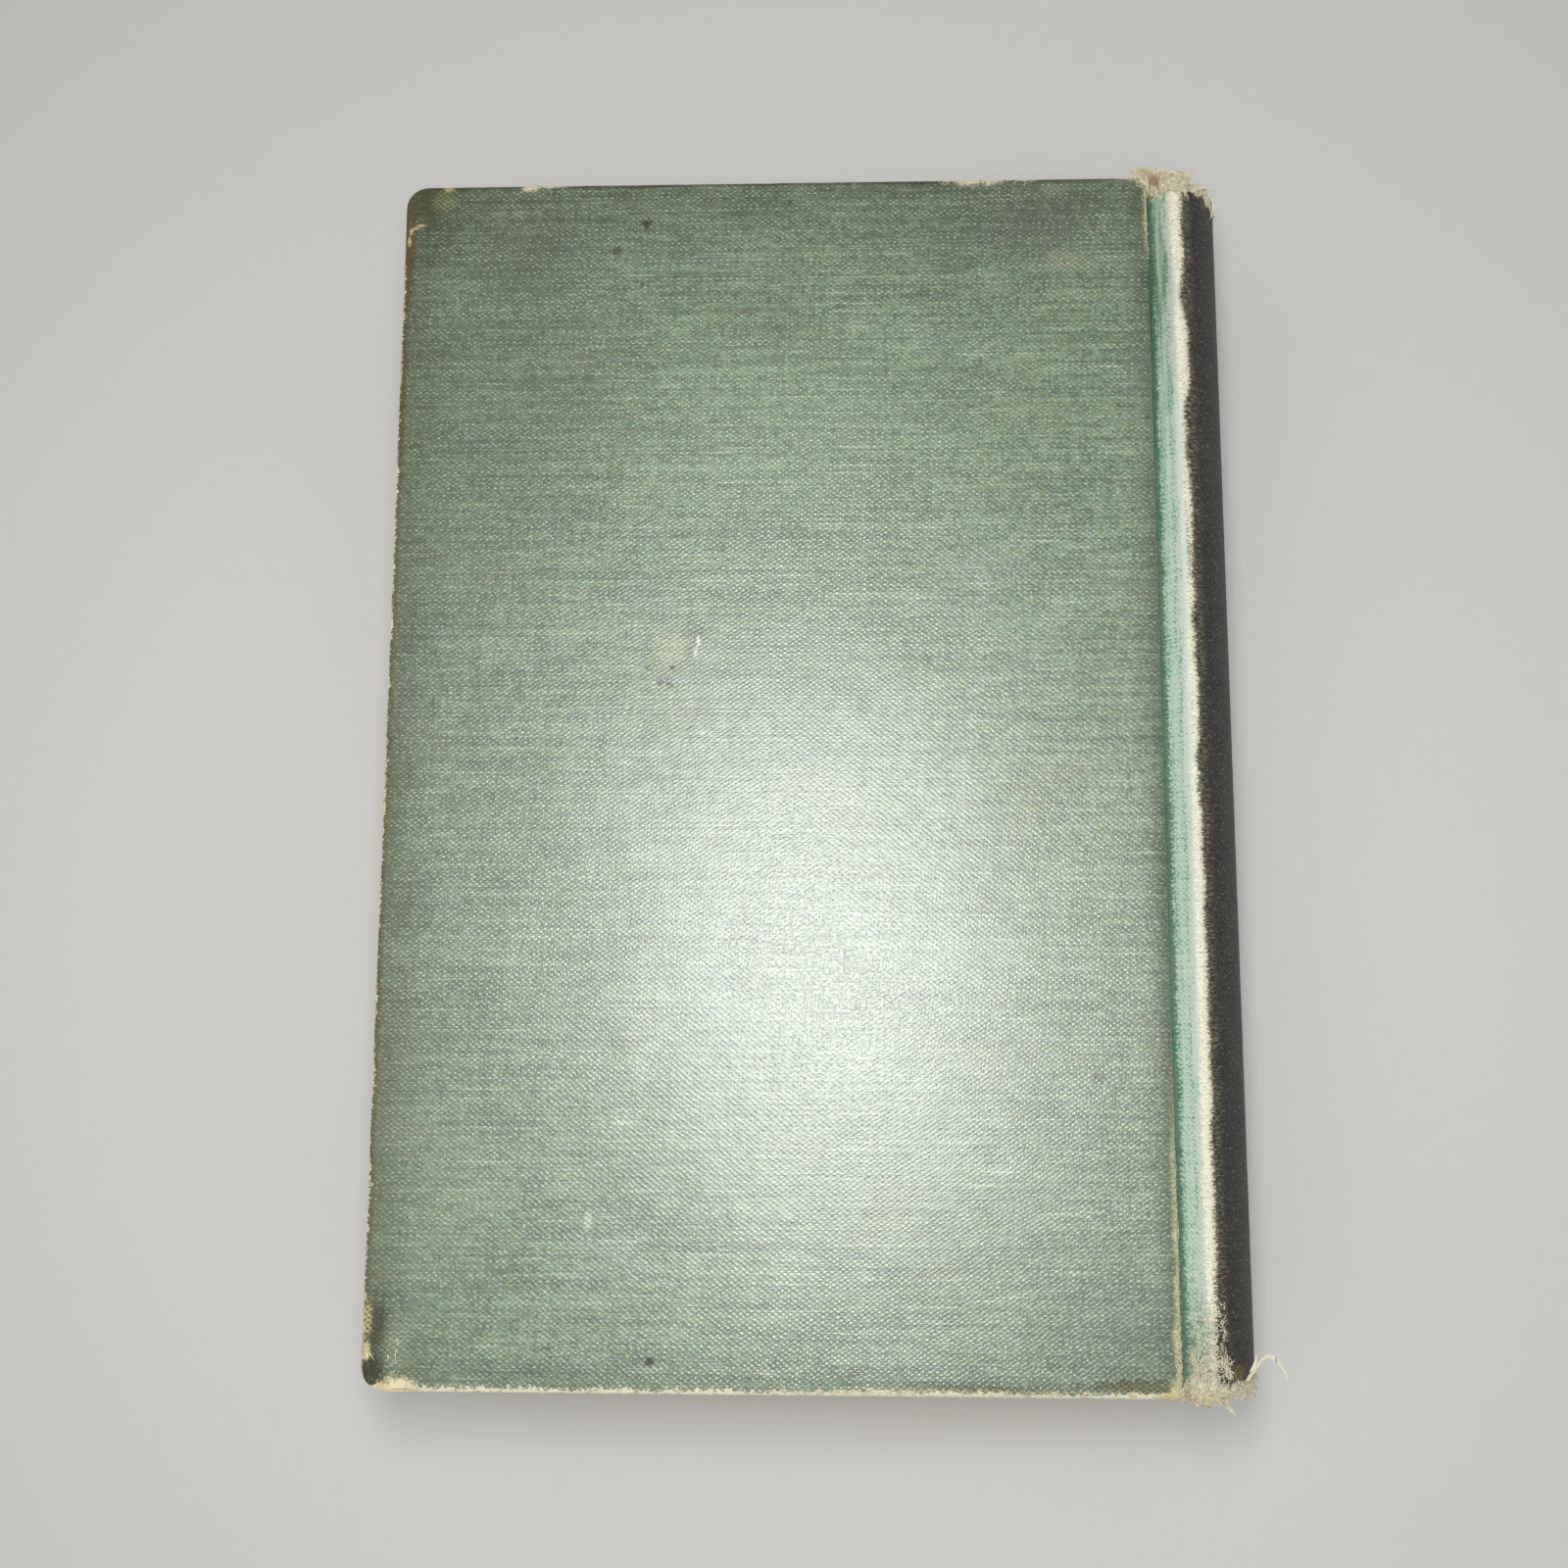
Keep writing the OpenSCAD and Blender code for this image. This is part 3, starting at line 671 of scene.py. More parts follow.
    height = total(tree, 0.0, ((noises["row"], 0.7), (noises["dot"], 1.2)))
    height = add(tree, "Math", PLUS, {0: height, 1: half})
    bump = add(tree, "Bump", None, {"Height": height, "Strength": 0.5, "Distance": 0.08 * MM})
    finish(tree, {"Base Color": colour, "Roughness": 0.6, "IOR": 1.45, "Normal": bump})
    return material


# Stains on the loose threads, placed in the book's own frame.
THREAD_MARKS = (
    (55.4, 95.5, 1.0, 1.1, "#a27244", 0.8),
    (57.2, 96.2, 1.6, 1.0, "#d3ae7c", 0.4),
    (54.0, 96.4, 1.6, 1.2, "#d0b27e", 0.5),
    (57.0, -95.8, 5.0, 1.1, "#d8be88", 0.3),
    (63.5, -93.6, 2.2, 2.0, "#d8c48e", 0.2),
)


def cotton_thread(colours):
    """Loose undyed cotton: soft, matt and fuzzy, cream, with some threads dark brown, partly with soil and
    partly as painted shade among the threads.
    """
    material, tree = new_material("undyed_cotton_thread")
    place = add(tree, "TexCoord", None, None, 3)
    noises = patterns(tree, place, {"soil": (3, 3, 3.0), "thread": (0.8, 0.8, 1.0), "fibre": (0.3, 0.3, 1.0)})
    tone = add(tree, "Attribute", {"attribute_name": "thread"}, None, 1)
    tone = add(tree, "SeparateXYZ", None, {0: tone}, 0)
    tone = add(tree, "MapRange", SMOOTH, {0: tone, 1: 0.0, 2: 0.45 * MM})
    # Dark threads: partly soil, partly painted shade in the gaps among the threads.
    share = total(tree, 0.4, ((noises["soil"], 1.0), (noises["thread"], 1.0), (noises["fibre"], 0.6)))
    share = add(tree, "Math", PLUS, {0: share, 1: tone})
    shades = {6: tuple(colours.thread_soiled_and_shaded), 7: tuple(colours.thread_clean)}
    colour = add(tree, "Mix", BLEND, {0: share, **shades}, 2)
    uneven = total(tree, 0.0, ((noises["soil"], 1.2), (noises["fibre"], 0.8)))
    colour, _ = spotted(tree, place, uneven, colour, THREAD_MARKS, 1.0)
    finish(tree, {
        "Base Color": colour, "Roughness": 0.9, "IOR": 1.5,
        "Sheen Weight": 0.9, "Sheen Tint": linear("#ffeec2"),
    })
    return material


def page_edges(colours):
    """Trimmed book paper, seen on its edges: fine leaf lines, cream, browned and dusty on the outside."""
    material, tree = new_material("book_paper_edges")
    place = add(tree, "Attribute", {"attribute_name": "leaf"}, None, 1)
    noises = patterns(tree, place, {
        "leaf": (45, 0.22, 2.0), "line": (16, 0.5, 1.0), "mottle": (20, 6, 3.0), "foxing": (3.2, 2.2, 2.0),
    })
    tone = total(tree, 0.4, ((noises["leaf"], 1.5), (noises["line"], 0.9), (noises["mottle"], 0.8)))
    colour = add(tree, "Mix", BLEND, {0: tone, 6: tuple(colours.pages), 7: tuple(colours.toned)}, 2)
    colour = tinted(tree, colour, ((noises["foxing"], 0.68, 0.8, 0.5, linear("#8a6236")),))
    bump = add(tree, "Bump", None, {"Height": noises["leaf"], "Strength": 0.5, "Distance": 0.08 * MM})
    finish(tree, {"Base Color": colour, "Roughness": 0.85, "IOR": 1.5, "Normal": bump})
    return material


def endpaper(colours):
    """Plain uncoated endpaper: matt and cream, with faint fibre clouds and a browned rim."""
    material, tree = new_material("uncoated_endpaper")
    place = add(tree, "TexCoord", None, None, 3)
    across, along = (add(tree, "SeparateXYZ", None, {0: place}, i) for i in (0, 1))
    noises = patterns(tree, place, {
        "cloud": (9, 9, 4.0), "fibre": (0.8, 0.8, 2.0), "foxing": (4, 4, 2.0), "patch": (26, 26, 2.0),
    })
    share = total(tree, 0.2, ((noises["cloud"], 0.9), (noises["fibre"], 0.35), (noises["patch"], 0.6)))
    colour = add(tree, "Mix", BLEND, {0: share, 6: tuple(colours.endpaper), 7: linear("#c9b58a")}, 2)
    cloudy = total(tree, 0.0, ((noises["patch"], 9 * MM), (noises["cloud"], 5 * MM)))
    ends = add(tree, "Math", SIZE, {0: along})
    ends = add(tree, "Math", PLUS, {0: ends, 1: cloudy})
    fore = add(tree, "Math", PLUS, {0: across, 1: cloudy})
    toned = tuple(colours.toned)
    colour = tinted(tree, colour, (
        (noises["foxing"], 0.7, 0.8, 0.55, toned),
        (ends, (PAGES_Y - 15) * MM, (PAGES_Y + 2) * MM, 0.5, toned),
        (fore, (PAGES_X + 15) * MM, (PAGES_X - 2) * MM, 0.5, toned),
    ))
    bump = add(tree, "Bump", None, {"Height": noises["fibre"], "Strength": 0.25, "Distance": 0.03 * MM})
    finish(tree, {"Base Color": colour, "Roughness": 0.82, "IOR": 1.5, "Normal": bump})
    return material


# Spacing of the gauze's threads.
GAUZE_MESH = 1.2


def starched_gauze(colours):
    """Open cotton gauze stiffened with glue: a square net of pale threads over darker gaps."""
    material, tree = new_material("starched_gauze")
    place = add(tree, "TexCoord", None, None, 3)
    noises = patterns(tree, place, {"glue": (5, 5, 3.0)})
    turns = HALF_TURN / (GAUZE_MESH * MM)
    angle = add(tree, "VectorMath", {"operation": "SCALE"}, {0: place, "Scale": turns})
    waves = []
    for i in (0, 1):
        wave = add(tree, "SeparateXYZ", None, {0: angle}, i)
        wave = add(tree, "Math", {"operation": "COSINE"}, {0: wave})
        waves.append(add(tree, "Math", SIZE, {0: wave}))
    net = add(tree, "Math", {"operation": "MAXIMUM"}, {0: waves[0], 1: waves[1]})
    net = add(tree, "MapRange", SMOOTH, {0: net, 1: 0.72, 2: 0.92})
    glue = add(tree, "Mix", BLEND, {0: noises["glue"], 6: linear("#8d7650"), 7: linear("#b49c72")}, 2)
    colour = add(tree, "Mix", BLEND, {0: net, 6: glue, 7: tuple(colours.gauze)}, 2)
    bump = add(tree, "Bump", None, {"Height": net, "Strength": 0.6, "Distance": 0.12 * MM})
    finish(tree, {"Base Color": colour, "Roughness": 0.75, "IOR": 1.5, "Normal": bump})
    return material


def fibre_board(name, colour, dark, size):
    """Pressed paper pulp, as in straw board, spine card and kraft lining: matt, with fibres and flecks."""
    material, tree = new_material(name)
    place = add(tree, "TexCoord", None, None, 3)
    noises = patterns(tree, place, {
        "fibre": (size, size * 4, 3.0), "cloud": (12, 12, 3.0), "fleck": (size * 1.5, size * 1.5, 1.0),
    })
    share = total(tree, 0.35, ((noises["fibre"], 1.0), (noises["cloud"], 0.8)))
    shade = add(tree, "Mix", BLEND, {0: share, 6: colour, 7: dark}, 2)
    shade = tinted(tree, shade, ((noises["fleck"], 0.7, 0.78, 0.6, linear("#5d4a2e")),))
    bump = add(tree, "Bump", None, {"Height": noises["fibre"], "Strength": 0.4, "Distance": 0.06 * MM})
    finish(tree, {"Base Color": shade, "Roughness": 0.88, "IOR": 1.5, "Normal": bump})
    return material


def finish_of(name):
    """A finished material by name, made by an earlier operator."""
    return bpy.data.materials[name]


# Steps of the case's profile: in the bend of the groove, up its slope, over a ridge and round the back.
GROOVE_STEPS = 7
SLOPE_STEPS = 6
RIDGE_STEPS = 12
BACK_STEPS = 48


class Case:
    """The profile of the cloth through a joint and over the spine, in millimetres.
    X runs from the boards' joint edge and Z from the middle of the pages."""

    def __init__(self, sizes):
        self.cloth = sizes.cloth_t / MM
        half = self.cloth / 2
        ridge_r = sizes.ridge_r / MM
        groove_r = sizes.groove_r / MM
        rounding = sizes.rounding
        self.spine_r = (MID_Z - sizes.ridge_drop / MM) / math.sin(rounding)
        self.centre = (sizes.joint_w / MM - self.spine_r * math.cos(rounding), 0.0)
        self.rounding = rounding
        self.ridge_r = ridge_r
        self.ridge = on_circle(self.centre, self.spine_r - half - ridge_r, rounding)
        self.groove_z = PAPER_Z + sizes.gauze_t / MM + sizes.seat_gap / MM + half
        self.gap = sizes.joint_gap / MM
        self.groove = (self.gap + sizes.groove_flat / MM, self.groove_z + groove_r)
        self.groove_r = groove_r
        run = (self.ridge[0] - self.groove[0], self.ridge[1] - self.groove[1])
        self.slope = math.atan2(run[1], run[0]) + math.asin((groove_r + ridge_r) / math.hypot(*run))
        self.gauze_z = PAPER_Z + sizes.gauze_t / MM
        self.seat = sizes.seat_gap / MM
        self.back_r = self.spine_r - sizes.back_in / MM
        # The slope of the pages' shoulder runs beside the cloth's, below the gauze.
        low = on_circle(self.groove, groove_r, self.slope - HALF_TURN / 2)
        under = half + self.seat + sizes.gauze_t / MM
        self.shoulder = (low[0] + under * math.sin(self.slope), low[1] - under * math.cos(self.slope))
        self.foot_x = self.shoulder[0] + (PAPER_Z - self.shoulder[1]) / math.tan(self.slope)

    def joint_line(self, out):
        """Through the joint, from under the board to the ridge, at out from the cloth's middle."""
        quarter = HALF_TURN / 2
        # Under the board the cloth thins out and lies a little higher.
        tuck = self.groove_z + 0.08
        under = tuck + 0.5 * out - 0.02
        line = [(-0.72, under), (-0.3, under), (0.02, tuck - 0.05 + 0.8 * out)]
        line += [(self.gap, self.groove_z + out)]
        line += arc(self.groove, self.groove_r - out, -quarter, self.slope - quarter, GROOVE_STEPS)
        top = on_circle(self.ridge, self.ridge_r + out, self.slope + quarter)
        low = line[-1]
        columns = [spread(low[k], top[k], SLOPE_STEPS)[1:] for k in (0, 1)]
        line += zip(*columns)
        # The last bit is tucked under the spine's cloth.
        tucked = self.ridge_r + out - 0.06
        line.append(on_circle(self.ridge, tucked, self.slope + quarter - 0.3 / tucked))
        return line

    def spine_line(self, out):
        """Over both ridges and the spine between them."""
        start = self.slope + HALF_TURN / 2
        ridge = arc(self.ridge, self.ridge_r + out, start, self.rounding, RIDGE_STEPS)
        back_r = self.spine_r - self.cloth / 2 + out
        back = arc(self.centre, back_r, self.rounding, -self.rounding, BACK_STEPS)
        return ridge + back[1:-1] + [(x, -z) for x, z in reversed(ridge)]

    def crest(self, out):
        """Length along the ridge from where the slope ends to the top of the ridge."""
        return (self.ridge_r + out) * self.slope


def lengths(line):
    """Length along a line at each of its points."""
    made = [0.0]
    for a, b in zip(line, line[1:]):
        made.append(made[-1] + math.dist(a, b))
    return made


def at_length(line, marks, wanted):
    """Point on a line at a length along it, and the direction out of it to the left."""
    i = 0
    while i < len(marks) - 2 and marks[i + 1] < wanted:
        i += 1
    share = (wanted - marks[i]) / (marks[i + 1] - marks[i])
    run = (line[i + 1][0] - line[i][0], line[i + 1][1] - line[i][1])
    size = math.hypot(*run)
    spot = (line[i][0] + run[0] * share, line[i][1] + run[1] * share)
    return spot, (-run[1] / size, run[0] / size)


# Where the front joint's cloth lies on the flat cloth, far from the back joint's, in millimetres.
FAR_CLOTH = 300.0
# How far beside its outside the inside of a band of cloth is laid flat.
INNER_FLAT = 60.0
# Height of the finely divided ends of a band of cloth.
FINE_END = 6.0
# Points of a joint's line: where it comes out from under the board, and where its slope ends.
AT_GAP = 3
SLOPE_END = -2


def ragged_end(across, seed, loss):
    """How far the cloth has worn back from an end, at a length across it. By the ridge it stands out."""
    uneven = 0.45 * grain(across, seed, 2.3, seed) + 0.45 * grain(across, seed, 0.8, seed + 1)
    return loss * (0.35 + uneven - 0.9 * fade(abs(across + 2.0), 6.0, 1.0))


# Where the back ridge is worn through to undyed cotton: height, and the limits across from its crest.
RIDGE_WEAR = (
    (-96.0, -0.8, 0.8), (-92.5, -0.3, 0.2), (-88.0, -0.1, 0.0), (-85.5, 0.1, 0.0), (-83.0, -0.3, 0.7),
    (-80.0, -0.5, 0.3), (-75.0, -0.7, 0.9), (-70.0, -0.4, 0.6), (-66.5, -0.9, 0.9), (-62.0, -0.4, 0.6),
    (-58.0, -0.55, 0.4), (-54.0, -0.55, 0.9), (-42.0, -0.45, 0.8), (-30.0, -0.45, 0.9), (-25.0, -0.15, 0.6),
    (-20.0, -0.15, 1.1), (-15.0, -0.15, 0.6), (-11.0, -0.15, 0.9), (-4.5, -0.35, 0.2), (-2.5, -0.25, 0.7),
    (-0.5, 0.0, 0.0), (3.0, -0.15, 0.9), (8.5, 0.15, 0.9), (12.0, -0.15, 1.2), (15.0, -0.05, 0.4),
    (19.0, -0.05, 0.6), (22.0, 0.05, 0.1), (25.5, -0.15, 1.2), (29.0, 0.25, 0.4), (33.0, 0.45, 0.8),
    (42.5, 0.05, 0.9), (46.5, 0.05, 0.6), (49.0, 0.0, 0.0), (52.5, 0.25, 0.6), (57.0, -0.1, -0.1),
    (60.5, -0.2, 1.5), (68.5, -0.4, 1.4), (72.0, -0.8, 0.8), (75.0, -0.1, -0.1), (78.0, -0.3, 0.3),
    (82.0, -0.8, 0.9), (89.0, -1.0, 0.6), (96.0, -1.8, 1.2),
)


def ridge_wear(y):
    """Limits of the undyed cotton on a ridge at a height."""
    for low, high in zip(RIDGE_WEAR, RIDGE_WEAR[1:]):
        if y <= high[0]:
            break
    share = min(max((y - low[0]) / (high[0] - low[0]), 0.0), 1.0)
    return tuple(low[k] + (high[k] - low[k]) * share for k in (1, 2))


def end_wear(across, y):
    """How far from an end the cloth is worn down to bare thread: deepest at the head of the joint."""
    if y < 0:
        return 1.7
    return 1.2 + 1.3 * fade(across, 2.4, 0.8)


def worn_point(spot, out, across, y):
    """Where a point of the case's outside lies once worn, in X and Z. Loose thread stands up along the crest,
    and at both ends the cloth is ruffled and fills up the joint."""
    end = abs(y) - HEAD_Y
    lump = grain(across, y, 1.1, 23) + 0.5 * grain(across, y, 0.5, 24)
    lift = 0.1 * fade(abs(across), 1.6, 0.3) * grain(across, y, 0.9, 21)
    lift = lift + 0.03 * grain(across, y, 5, 22) - 0.03
    lift += 0.22 * fade(end, -3.5, -1.0) * lump
    x = spot[0] + out[0] * lift
    z = spot[1] + out[1] * lift
    if y > 0:
        filled = fade(end, -3.4, -1.2) * fade(x, -0.1, 0.3)
    else:
        filled = 0.7 * fade(end, -3.8, -1.6) * fade(x, 0.7, 1.6)
    room = max(MID_Z - 0.5 - abs(z), 0.0) * fade(x, 4.2, 3.0)
    return x, z + math.copysign(room * filled * (0.8 + 0.25 * lump), z)


def way_out(line, i):
    """Direction out of a line to its left, at one of its points."""
    ahead = line[min(i + 1, len(line) - 1)]
    behind = line[max(i - 1, 0)]
    run = (ahead[0] - behind[0], ahead[1] - behind[1])
    size = math.hypot(*run)
    return (-run[1] / size, run[0] / size)


def cloth_band(name, outer, inner, across, run, loss, materials, seed, side=1):
    """A closed band of cloth along the book's height. outer and inner are lines in X and Z. For each point
    of outer, across gives its distance from the nearest crest and run its length along the whole cloth."""
    points = []
    fields = []
    flat = []
    worn = []
    near = FINE_END / (HEAD_Y - TAIL_Y)
    fine = near / 14
    coarse = near / 5
    ends = steps(0.0, near, fine)
    rows = ends + steps(near, 1 - near, coarse)[1:-1] + [1 - t for t in reversed(ends)]
    for line, is_outer in ((outer, True), (inner, False)):
        for i, spot in enumerate(line):
            head = HEAD_Y - ragged_end(across[i], seed, loss)
            tail = TAIL_Y + ragged_end(across[i], seed + 3, loss)
            out = way_out(line, i)
            for t in rows:
                y = tail + (head - tail) * t
                x, z = worn_point(spot, out, across[i], y) if is_outer else spot
                points.append((JOINT_X + x, y, MID_Z + side * z))
                fields.append((across[i], y, run[i]))
                flat.append((across[i] + (0.0 if is_outer else INNER_FLAT), y))
                worn.append((*ridge_wear(side * y), end_wear(across[i], y)))
    count = len(rows)
    wide = len(outer)
    faces = []
    slots = []

    def cell(i, j, inside):
        """Number of a point, on the outside or the inside of the band."""
        return (wide * inside + i) * count + j

    for i in range(wide - 1):
        for j in range(count - 1):
            faces.append((cell(i, j, 0), cell(i + 1, j, 0), cell(i + 1, j + 1, 0), cell(i, j + 1, 0)))
            slots.append(0)
            faces.append((cell(i, j, 1), cell(i, j + 1, 1), cell(i + 1, j + 1, 1), cell(i + 1, j, 1)))
            slots.append(len(materials) - 1)
    top = count - 1
    for i in range(wide - 1):
        faces.append((cell(i, 0, 0), cell(i, 0, 1), cell(i + 1, 0, 1), cell(i + 1, 0, 0)))
        faces.append((cell(i, top, 0), cell(i + 1, top, 0), cell(i + 1, top, 1), cell(i, top, 1)))
        slots += [0, 0]
    far = wide - 1
    for j in range(count - 1):
        faces.append((cell(0, j, 0), cell(0, j + 1, 0), cell(0, j + 1, 1), cell(0, j, 1)))
        faces.append((cell(far, j, 0), cell(far, j, 1), cell(far, j + 1, 1), cell(far, j + 1, 0)))
        slots += [0, 0]
    if side < 0:
        faces = [tuple(reversed(face)) for face in faces]
    attributes = {"cloth": fields, "wear": worn}
    return new_piece(name, points, faces, materials, slots, attributes, flat, crisp=True)


def blend_at_joint(piece, side):
    """Bakes a joint piece's placement into its points, the same for either side."""
    if side == "back":
        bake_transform(piece)
    else:
        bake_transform(piece)


class BOOK_OT_cover_cloth(bpy.types.Operator):
    """Covers both boards in worn bookcloth, turned in over their edges"""

    bl_idname = "book.cover_cloth"
    bl_label = "Cover cloth"

    def execute(self, context):
        scene = context.scene
        colours = scene.book_colours
        back = cover_bookcloth(
            colours, "bookcloth_back_cover", BACK_CLOUDS_AND_SHADE, BACK_SOIL, BACK_RUBBED, BACK_BARE
        )
        front = cover_bookcloth(colours, "bookcloth_front_cover")
        for side, body, material in ((1, "back", back), (-1, "front", front)):
            piece = self.skin(f"{body}_cover_cloth", scene.book_sizes, scene.book_wear, material, side)
            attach(piece, f"{body}_cover")
            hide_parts(f"{body}_cloth")
        return {"FINISHED"}

    def skin(self, name, sizes, wear, material, side):
        """Outside, edges and turn-ins of one cover's cloth, as one sheet."""
        edge = sizes.edge_r / MM
        round_r = sizes.corner_r / MM - edge
        left, right = FORE_X + edge, JOINT_X - edge
        low, high = TAIL_Y + edge, HEAD_Y - edge
        step = 1.25
        fine = 0.5
        xs = steps(left, left + round_r, fine)[:-1] + steps(left + round_r, right, step)
        ys = steps(low, low + round_r, fine)[:-1] + steps(low + round_r, high - round_r, step)
        ys += steps(high - round_r, high, fine)[1:]
        # Middle of the patch that is worn through to the board.
        bare = (FORE_X + 5.4, TAIL_Y + 0.6)
        points = []
        fields = []
        flat = []

        def put(x, y, drop, u, v):
            points.append((x, y, MID_Z + side * (MID_Z - drop)))
            fields.append((u, v, 0.0 if side > 0 else FAR_CLOTH))
            flat.append((u, v))
            return len(points) - 1

        def dip(x, y):
            """Depth of dents and thin places in the outside."""
            near = min(x - FORE_X, HEAD_Y - y, y - TAIL_Y, JOINT_X - x)
            depth = 0.05 + 0.05 * grain(x, y, 22, 4 + side) + 0.03 * grain(x, y, 5, 9 + side)
            depth += 0.09 * fade(near, 3.0, 0.0) * (1 + grain(x, y, 4, 2 + side))
            if side > 0:
                gone = math.dist((x, (y - bare[1]) * 1.6 + bare[1]), bare) / (wear.bare_r / MM * 1.35)
                depth += 0.26 * fade(gone + 0.35 * grain(x, y, 1.4, 3), 1.1, 0.7)
            return depth

        table = []
        for x in xs:
            column = []
            for y in ys:
                px, py = x, y
                corner_y = low + round_r if y < low + round_r else high - round_r
                if x < left + round_r and (y < low + round_r or y > high - round_r):
                    a = (left + round_r - x) / round_r
                    b = (y - corner_y) / round_r
                    px = left + round_r - round_r * a * math.sqrt(1 - b * b / 2)
                    py = corner_y + round_r * b * math.sqrt(1 - a * a / 2)
                column.append(put(px, py, dip(px, py), px, py))
            table.append(column)
        faces = []
        for i in range(len(xs) - 1):
            for j in range(len(ys) - 1):
                faces.append((table[i][j], table[i + 1][j], table[i + 1][j + 1], table[i][j + 1]))

        nx, ny = len(xs) - 1, len(ys) - 1
        rim = [(i, 0) for i in range(nx)] + [(nx, j) for j in range(ny)]
        rim += [(i, ny) for i in range(nx, 0, -1)] + [(0, j) for j in range(ny, 0, -1)]
        turns = [k * HALF_TURN / 8 for k in range(1, 5)]
        section = [(edge * math.sin(a), edge * (1 - math.cos(a)), edge * a) for a in turns]
        wall = SKIN_T - 2 * edge
        arris = edge * HALF_TURN / 2
        section += [(edge, edge + wall * t, arris + wall * t) for t in (0.5, 1.0)]
        foot = edge + wall
        section += [(edge * math.cos(a), foot + edge * math.sin(a), arris + wall + edge * a) for a in turns]
        reach = 2 * arris + wall
        loops = [[table[i][j] for i, j in rim]]
        spots = []
        for i, j in rim:
            x, y, _ = points[table[i][j]]
            out = Vector(((i == nx) - (i == 0), (j == ny) - (j == 0)))
            if i < nx and x < left + round_r and not low + round_r <= y <= high - round_r:
                centre_y = low + round_r if y < low + round_r else high - round_r
                out = Vector((x - left - round_r, y - centre_y)).normalized()
            spots.append((x, y, out, i == nx and 0 < j < ny))
        for outward, drop, run in section:
            loop = []
            for x, y, out, _ in spots:
                uneven = grain(x, y, 7, 11 + side) * grain(x, y, 1.7, 12)
                worn = wear.edge_loss / MM * (0.45 + 0.55 * uneven)
                held = outward - abs(worn) * outward / edge
                start = dip(x, y) * fade(drop, edge * 1.2, 0.0)
                u, v = x + out.x * run, y + out.y * run
                loop.append(put(x + out.x * held, y + out.y * held, drop + start, u, v))
            loops.append(loop)
        turn_in = sizes.turn_in / MM - edge
        for share in (0.2, 0.45, 0.7, 1.0, 1.001):
            loop = []
            inset = turn_in * share
            drop = SKIN_T if share <= 1 else SKIN_T - sizes.cloth_t / MM
            for x, y, out, at_joint in spots:
                u, v = x + out.x * (reach + inset), y + out.y * (reach + inset)
                if at_joint:
                    px, py = x, y
                    u = x + reach
                else:
                    px = max(x, left + inset)
                    py = min(max(y, low + inset), high - inset)
                loop.append(put(px, py, drop, u, v))
            loops.append(loop)
        count = len(rim)
        for first, second in zip(loops, loops[1:]):
            for k in range(count):
                after = (k + 1) % count
                faces.append((first[k], second[k], second[after], first[after]))
        if side < 0:
            faces = [tuple(reversed(face)) for face in faces]
        return new_piece(name, points, faces, [material], (), {"cloth": fields}, flat)


class BOOK_OT_spine_cloth(bpy.types.Operator):
    """Runs bookcloth through both joints and over the rounded spine"""

    bl_idname = "book.spine_cloth"
    bl_label = "Spine and joint cloth"

    def execute(self, context):
        scene = context.scene
        case = Case(scene.book_sizes)
        half = case.cloth / 2
        cloth = spine_bookcloth(scene.book_colours)
        paper = endpaper(scene.book_colours)
        loss = scene.book_wear.end_loss / MM

        outer = case.joint_line(half)
        inner = case.joint_line(-half)
        marks = lengths(outer)
        across = [mark - marks[SLOPE_END] - case.crest(half) for mark in marks]
        for side, body in ((1, "back"), (-1, "front")):
            name = f"{body}_joint_cloth"
            run = across if side > 0 else [FAR_CLOTH - length for length in across]
            piece = cloth_band(name, outer, inner, across, run, loss, [cloth, paper], 31 + side, side)
            blend_at_joint(piece, body)
        line = case.spine_line(half)
        marks = lengths(line)
        middle = marks[-1] / 2
        across = [middle - abs(mark - middle) - case.crest(half) for mark in marks]
        run = [mark - case.crest(half) for mark in marks]
        piece = cloth_band("spine_back_cloth", line, case.spine_line(-half), across, run, loss, [cloth], 41)
        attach(piece, "text_block")
        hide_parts("spine_cloth")
        return {"FINISHED"}


